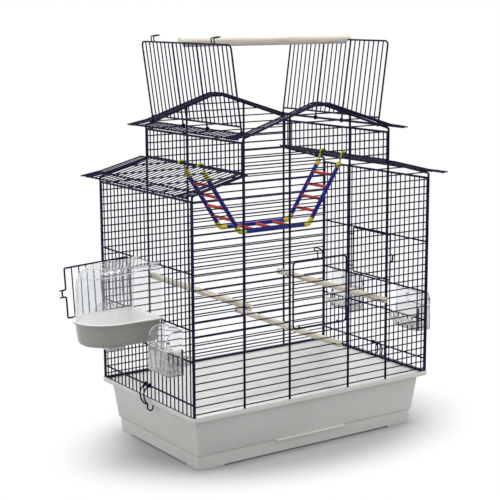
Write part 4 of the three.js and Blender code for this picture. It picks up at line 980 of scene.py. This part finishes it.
# Feeders: clear trough and lid outside the side grille, white lip inside it
TROUGH_HALF, TROUGH_OUT = 35.5, 40.0
TROUGH_FOOT, TROUGH_TOP, LID_FOOT, LID_TOP = 193.0, 243.0, 243.3, 280.0


def along_y_at(x, z):
    """A test for the edges that run along Y at a place given in millimetres."""
    def test(a, b):
        return all(abs(end.x - x / 1000) < 1e-5 and abs(end.z - z / 1000) < 1e-5 for end in (a, b))
    return test


def upright_at(x):
    """A test for the upright edges at a place given in millimetres."""
    def test(a, b):
        here = all(abs(end.x - x / 1000) < 1e-5 for end in (a, b))
        return here and abs(a.y - b.y) < 1e-5 and abs(a.z - b.z) > 0.01
    return test


def trough(name, turn):
    """The clear trough, open above and towards the grille, with an ear and a pin at each side."""
    piece = block((BATH_FLAT, -TROUGH_HALF, TROUGH_FOOT), (TROUGH_OUT, TROUGH_HALF, TROUGH_TOP))
    edit(piece)
    choose("edges", along_y_at(TROUGH_OUT, TROUGH_FOOT))
    bpy.ops.mesh.bevel(offset=0.004, segments=6)
    choose("edges", upright_at(TROUGH_OUT))
    bpy.ops.mesh.bevel(offset=0.0025, segments=4)
    choose("polygons", lambda centre, normal: normal.z > 0.9 and centre.z > 0.24)
    bpy.ops.mesh.delete(type="FACE")
    leave_edit()
    recalculate(piece)
    rims_frosted(piece, CLOUDED)
    within = TROUGH_HALF - SHELL
    cut(piece, block((0.0, -within, 209.0), (BATH_FLAT + 3, within, 250.0)))
    extras = []
    for sign in (-1, 1):
        y = sign * (TROUGH_HALF - SHELL / 2)
        ear = block((32.0, y - 0.7, 241.0), (TROUGH_OUT - 0.3, y + 0.7, 262.0), 0.6)
        flange = block((BATH_FLAT, y - 0.9, 194.0), (BATH_FLAT + 5.0, y + 0.9, 242.6), 0.6)
        pin = rod(mm(36.0, y - 0.9, 258.4), mm(36.0, y + 0.9, 258.4), 1.7, 16, 0.2)
        extras += [finished(ear, CLEAR), finished(flange, CLEAR), finished(pin, NAVY)]
    for y in (-12.0, 12.0):
        rib = block((BATH_FLAT + 1, y - 0.5, 194.2), (TROUGH_OUT - 6, y + 0.5, 200.0), 0.3)
        extras.append(finished(rib, CLEAR))
    half = TROUGH_HALF - 2.5
    rim = block((TROUGH_OUT - SHELL, -half, 240.8), (TROUGH_OUT, half, TROUGH_TOP), 0.5)
    near, far, side = BATH_FLAT + 1, TROUGH_OUT - 1.2, TROUGH_HALF - 1
    sill = [mm(x, y, 198.0) for x, y in ((near, -side), (far, -side), (far, side), (near, side))]
    piece = join(piece, finished(rim, FROST), frosted_bead(sill, 0.9), *extras)
    piece.matrix_world = turn
    stand_for(smooth(apply_place(piece), 40.0), name, "clear_plastic", CLOUDED, FROST, CLEAR, NAVY)


def feeder_lid(name, turn):
    """The clear lid: an open box with a round front, and a frosted line round each cheek."""
    half = TROUGH_HALF - SHELL - SEAT
    piece = block((BATH_FLAT, -half, LID_FOOT), (TROUGH_OUT, half, LID_TOP))
    edit(piece)
    choose("edges", along_y_at(TROUGH_OUT, LID_TOP))
    bpy.ops.mesh.bevel(offset=0.0235, segments=14)
    choose("edges", along_y_at(TROUGH_OUT, LID_FOOT))
    bpy.ops.mesh.bevel(offset=0.007, segments=5)
    choose("polygons", lambda centre, normal: normal.z < -0.9 or normal.x < -0.9)
    bpy.ops.mesh.delete(type="FACE")
    leave_edit()
    recalculate(piece)
    rims_frosted(piece, CLEAR)
    cheeks = []
    x, z, radius = 16.5, 256.4, 21.6
    for sign in (-1, 1):
        y = sign * (half - 2.2)
        path = [mm(BATH_FLAT + 1.4, y, z + radius), mm(x, y, z + radius)]
        for step in range(1, 10):
            angle = math.pi / 2 * (1 - step / 10)
            path.append(mm(x + radius * math.cos(angle), y, z + radius * math.sin(angle)))
        cheeks.append(frosted_bead(path, 0.8))
    piece = join(piece, *cheeks)
    piece.matrix_world = turn
    stand_for(smooth(apply_place(piece), 40.0), name, "clear_plastic", CLEAR, FROST)


def scoop(name, turn):
    """The white lip inside the grille: a shallow trough with two hooks over the cross wire."""
    half = 31.0
    piece = block((-17.0, -half, 207.0), (-1.6, half, 216.0))
    edit(piece)
    choose("edges", along_y_at(-17.0, 207.0))
    bpy.ops.mesh.bevel(offset=0.005, segments=5)
    choose("polygons", lambda centre, normal: normal.z > 0.9)
    bpy.ops.mesh.delete(type="FACE")
    leave_edit()
    recalculate(piece)
    modify(piece, "SOLIDIFY", thickness=SHELL / 1000, offset=-1.0)
    bevel(piece, 0.5, 50, 2)
    hooks = []
    for sign in (-1, 1):
        centre = sign * (half - 2.2)
        rise = ((-16.0, 212.0), (-15.0, 220.0), (-9.0, 226.0), (-3.6, 226.6))
        path = [mm(x, centre, z) for x, z in rise]
        for step in range(7):
            angle = math.pi * (0.75 - 0.85 * step / 6)
            path.append(mm(2.5 + 3.1 * math.cos(angle), centre, LEVEL_C + 3.1 * math.sin(angle)))
        hook = strands([path], 1.7, bend=1.2, roundness=3)
        edit(hook)
        bpy.ops.transform.resize(value=(1, 1.5, 1), center_override=mm(0, centre, 220))
        leave_edit()
        hooks.append(hook)
    bridge = block((-2.6, -half, 224.9), (-0.6, half, 227.9), 0.6)
    piece = join(piece, bridge, *hooks)
    piece.matrix_world = turn
    stand_for(smooth(apply_place(piece), 40.0), name, "white_plastic", WHITE)


for side_name, side in (("left", -1), ("right", 1)):
    for place_name, (_, place_y) in FEEDERS.items():
        outward = Matrix.Rotation(0 if side > 0 else math.pi, 4, "Z")
        turn = Matrix.Translation(mm(side * HALF_BODY, place_y, 0)) @ outward
        trough(f"{side_name}_{place_name}_feeder_trough", turn)
        feeder_lid(f"{side_name}_{place_name}_feeder_lid", turn)
        scoop(f"{side_name}_{place_name}_feeder_scoop", turn)


# Perches: dowels whose slotted ends take a row of the front and back panels
def perch(name, x, z):
    half = HALF_SPACING + 10.0
    piece = rod(mm(x, -half, z), mm(x, half, z), 6.5, 40, 0.6)
    for sign in (-1, 1):
        slot = sign * (half - 6.5)
        cut(piece, block((x - 8, slot - 7.5, z - 1.7), (x + 8, slot + 7.5, z + 1.2)))
    stand_for(smooth(piece, 40.0), name, "wood", WOOD)


perch("left_perch", -165.0, row_z(13))
perch("middle_perch", 50.0, row_z(6))
perch("right_perch", 165.0, row_z(11))


def top_perch():
    """The thick perch, askew across the open flaps, with its lower half cut away on them."""
    bar_x = HINGE_X + FLAP_TOP * math.sin(FLAP_LEAN)
    bar_z = HINGE_Z + FLAP_TOP * math.cos(FLAP_LEAN)
    skew = math.radians(PERCH_SKEW)
    half = (bar_x + 6.0) / math.cos(skew)
    radius = 9.6
    inner = (bar_x - CROSS - 0.8) / math.cos(skew) - radius * math.tan(skew)
    piece = rod(mm(-half, 0, 0), mm(half, 0, 0), radius, 48, 1.0)
    reach = half - inner + 2
    for sign in (-1, 1):
        centre = sign * (inner + reach / 2)
        cut(piece, block((centre - reach / 2, -12, -12), (centre + reach / 2, 12, 0)))
    place = Matrix.Translation(mm(0, -8.0, bar_z + CROSS + SEAT))
    piece.matrix_world = place @ Matrix.Rotation(-skew, 4, "Z")
    # The top perch takes the lighter wood: painted light.
    stand_for(smooth(apply_place(piece), 40.0), "top_perch", "wood", LIT_WOOD_ACROSS)


top_perch()


# The hanging ladder bridge
RAIL, RUNG, FITTING = 4.4, 3.2, 5.2
LADDER_Y, LADDER_HALF, LADDER_Z = 2.5, 35.5, 428.0
MIDDLE_END = 71.7


def ladder():
    elbow, top = Vector((86.0, LADDER_Z)), Vector((159.0, 539.0))
    slope = (top - elbow).normalized()
    low, high = elbow + slope * 14.3, top - slope * 0.3
    socket_end = top + slope * 13.0
    hook_centre = Vector(((HALF_TOWER + LOWER_TOP_X) / 2, TOWER_FOOT))
    hook_z = POST + 2.3
    hook_x = (LOWER_TOP_X - HALF_TOWER) / 2 + hook_z
    for side_name, side in (("left", -1), ("right", 1)):
        for depth_name, depth in (("front", -1), ("rear", 1)):
            y = LADDER_Y + depth * LADDER_HALF

            def on(point):
                return mm(side * point.x, y, point.y)

            rail = rod(on(low), on(high), RAIL, 24, 0.3)
            stand_for(rail, f"ladder_rail_{side_name}_{depth_name}", "rail", BLUE)
            bend = [on(elbow + slope * 14.0), on(elbow), mm(side * (elbow.x - 14.0), y, LADDER_Z)]
            corner = strands([bend], FITTING, bend=6.0, roundness=6)
            stand_for(corner, f"ladder_elbow_{side_name}_{depth_name}", "fitting", YELLOW)
            hook = [on(socket_end - slope * 1.0)]
            for step in range(13):
                angle = math.pi * (1.05 - 1.15 * step / 12)
                arm = Vector((hook_x * math.cos(angle), hook_z * math.sin(angle)))
                hook.append(on(hook_centre + arm))
            socket = rod(on(top), on(socket_end), FITTING, 24, 0.7)
            neck = rod(on(socket_end - slope * 1.0), on(socket_end + slope * 1.6), RUNG, 20, 0.5)
            fitting = join(socket, neck, strands([hook], 2.0, roundness=4))
            stand_for(fitting, f"ladder_hook_{side_name}_{depth_name}", "fitting", YELLOW)
        for number, share in enumerate((0.14, 0.38, 0.62, 0.86)):
            place = low.lerp(high, share)
            rung(f"ladder_rung_{side_name}_{number + 1}", side * place.x, place.y)
    for depth_name, y in (("front", LADDER_Y - LADDER_HALF), ("rear", LADDER_Y + LADDER_HALF)):
        rail = rod(mm(-MIDDLE_END, y, LADDER_Z), mm(MIDDLE_END, y, LADDER_Z), RAIL, 24, 0.3)
        stand_for(rail, f"ladder_rail_middle_{depth_name}", "rail", BLUE)
    for number, share in enumerate((0.2, 0.5, 0.8)):
        rung(f"ladder_rung_middle_{number + 1}", MIDDLE_END * (2 * share - 1), LADDER_Z)


def rung(name, x, z):
    half = LADDER_HALF - RAIL + 0.3
    piece = rod(mm(x, LADDER_Y - half, z), mm(x, LADDER_Y + half, z), RUNG, 20, 0.2)
    stand_for(piece, name, "rung", RED)


ladder()


# Floor, background and lamps
def looked_at(tree):
    """A value that is 1 for rays that show a surface, also mirrored or through clear plastic."""
    light = node(tree, "ShaderNodeLightPath")
    mirrored = node(tree, "ShaderNodeMath", operation="MAXIMUM")
    through = node(tree, "ShaderNodeMath", operation="MAXIMUM")
    link(tree, light, "Is Camera Ray", mirrored, 0)
    link(tree, light, "Is Glossy Ray", mirrored, 1)
    link(tree, mirrored, 0, through, 0)
    link(tree, light, "Is Transmission Ray", through, 1)
    return through.outputs[0]


def pale_floor():
    """A grey floor that takes the shadow and fades to white; it throws less light than it shows."""
    deselect_all()
    bpy.ops.mesh.primitive_plane_add(size=16.0, location=(0, 0, -0.0004))
    floor = bpy.context.object
    floor.name = "floor"
    material, tree, shader = new_material("floor")
    tone = node(tree, "ShaderNodeMix", data_type="RGBA")
    fill(tone, {6: (0.26, 0.26, 0.265, 1), 7: (0.52, 0.52, 0.525, 1)})
    fill(shader, {"Roughness": 0.9, "Specular IOR Level": 0.1})
    place = node(tree, "ShaderNodeTexCoord")
    centre = node(tree, "ShaderNodeMapping", {"Location": (0.0, 0.03, 0), "Scale": (0.8, 1.2, 1.0)})
    distance = node(tree, "ShaderNodeVectorMath", operation="LENGTH")
    fade = node(tree, "ShaderNodeMapRange", interpolation_type="SMOOTHSTEP")
    fill(fade, {"From Min": 0.22, "From Max": 0.40})
    white = node(tree, "ShaderNodeEmission", {"Color": (1, 1, 1, 1)})
    seen = looked_at(tree)
    share = node(tree, "ShaderNodeMath", operation="MULTIPLY")
    mix = node(tree, "ShaderNodeMixShader")
    link(tree, place, "Object", centre, "Vector")
    link(tree, centre, "Vector", distance, 0)
    link(tree, distance, "Value", fade, "Value")
    tree.links.new(seen, tone.inputs[0])
    link(tree, tone, 2, shader, "Base Color")
    link(tree, fade, "Result", share, 0)
    tree.links.new(seen, share.inputs[1])
    link(tree, share, 0, mix, "Fac")
    link(tree, shader, 0, mix, 1)
    link(tree, white, 0, mix, 2)
    tree.links.new(mix.outputs[0], tree.nodes["Material Output"].inputs["Surface"])
    floor.data.materials.append(material)


def white_world():
    world = bpy.data.worlds.new("studio")
    bpy.context.scene.world = world
    world.use_nodes = True
    tree = world.node_tree
    backdrop = tree.nodes["Background"]
    fill(backdrop, {"Color": (1, 1, 1, 1)})
    level = node(tree, "ShaderNodeMapRange", {"To Min": 0.75, "To Max": 1.0})
    tree.links.new(looked_at(tree), level.inputs["Value"])
    link(tree, level, "Result", backdrop, "Strength")


def soft_lamp(name, place, aim, width, power):
    data = bpy.data.lights.new(name, "AREA")
    data.shape = "DISK"
    data.size = width
    data.energy = power
    lamp = bpy.data.objects.new(name, data)
    bpy.context.scene.collection.objects.link(lamp)
    lamp.location = place
    lamp.visible_camera = False
    lamp.rotation_euler = (Vector(aim) - Vector(place)).to_track_quat("-Z", "Y").to_euler()


pale_floor()
white_world()
soft_lamp("overhead", (0.1, 0.2, 6.0), (0, 0, 0.3), 3.6, 230.0)
soft_lamp("left side", (-3.0, 0.5, 0.8), (0, 0, 0.1), 1.6, 14.0)
soft_lamp("right front", (2.2, -1.8, 0.9), (0.1, 0, 0.1), 1.2, 13.0)
bpy.context.scene.view_settings.view_transform = "Standard"
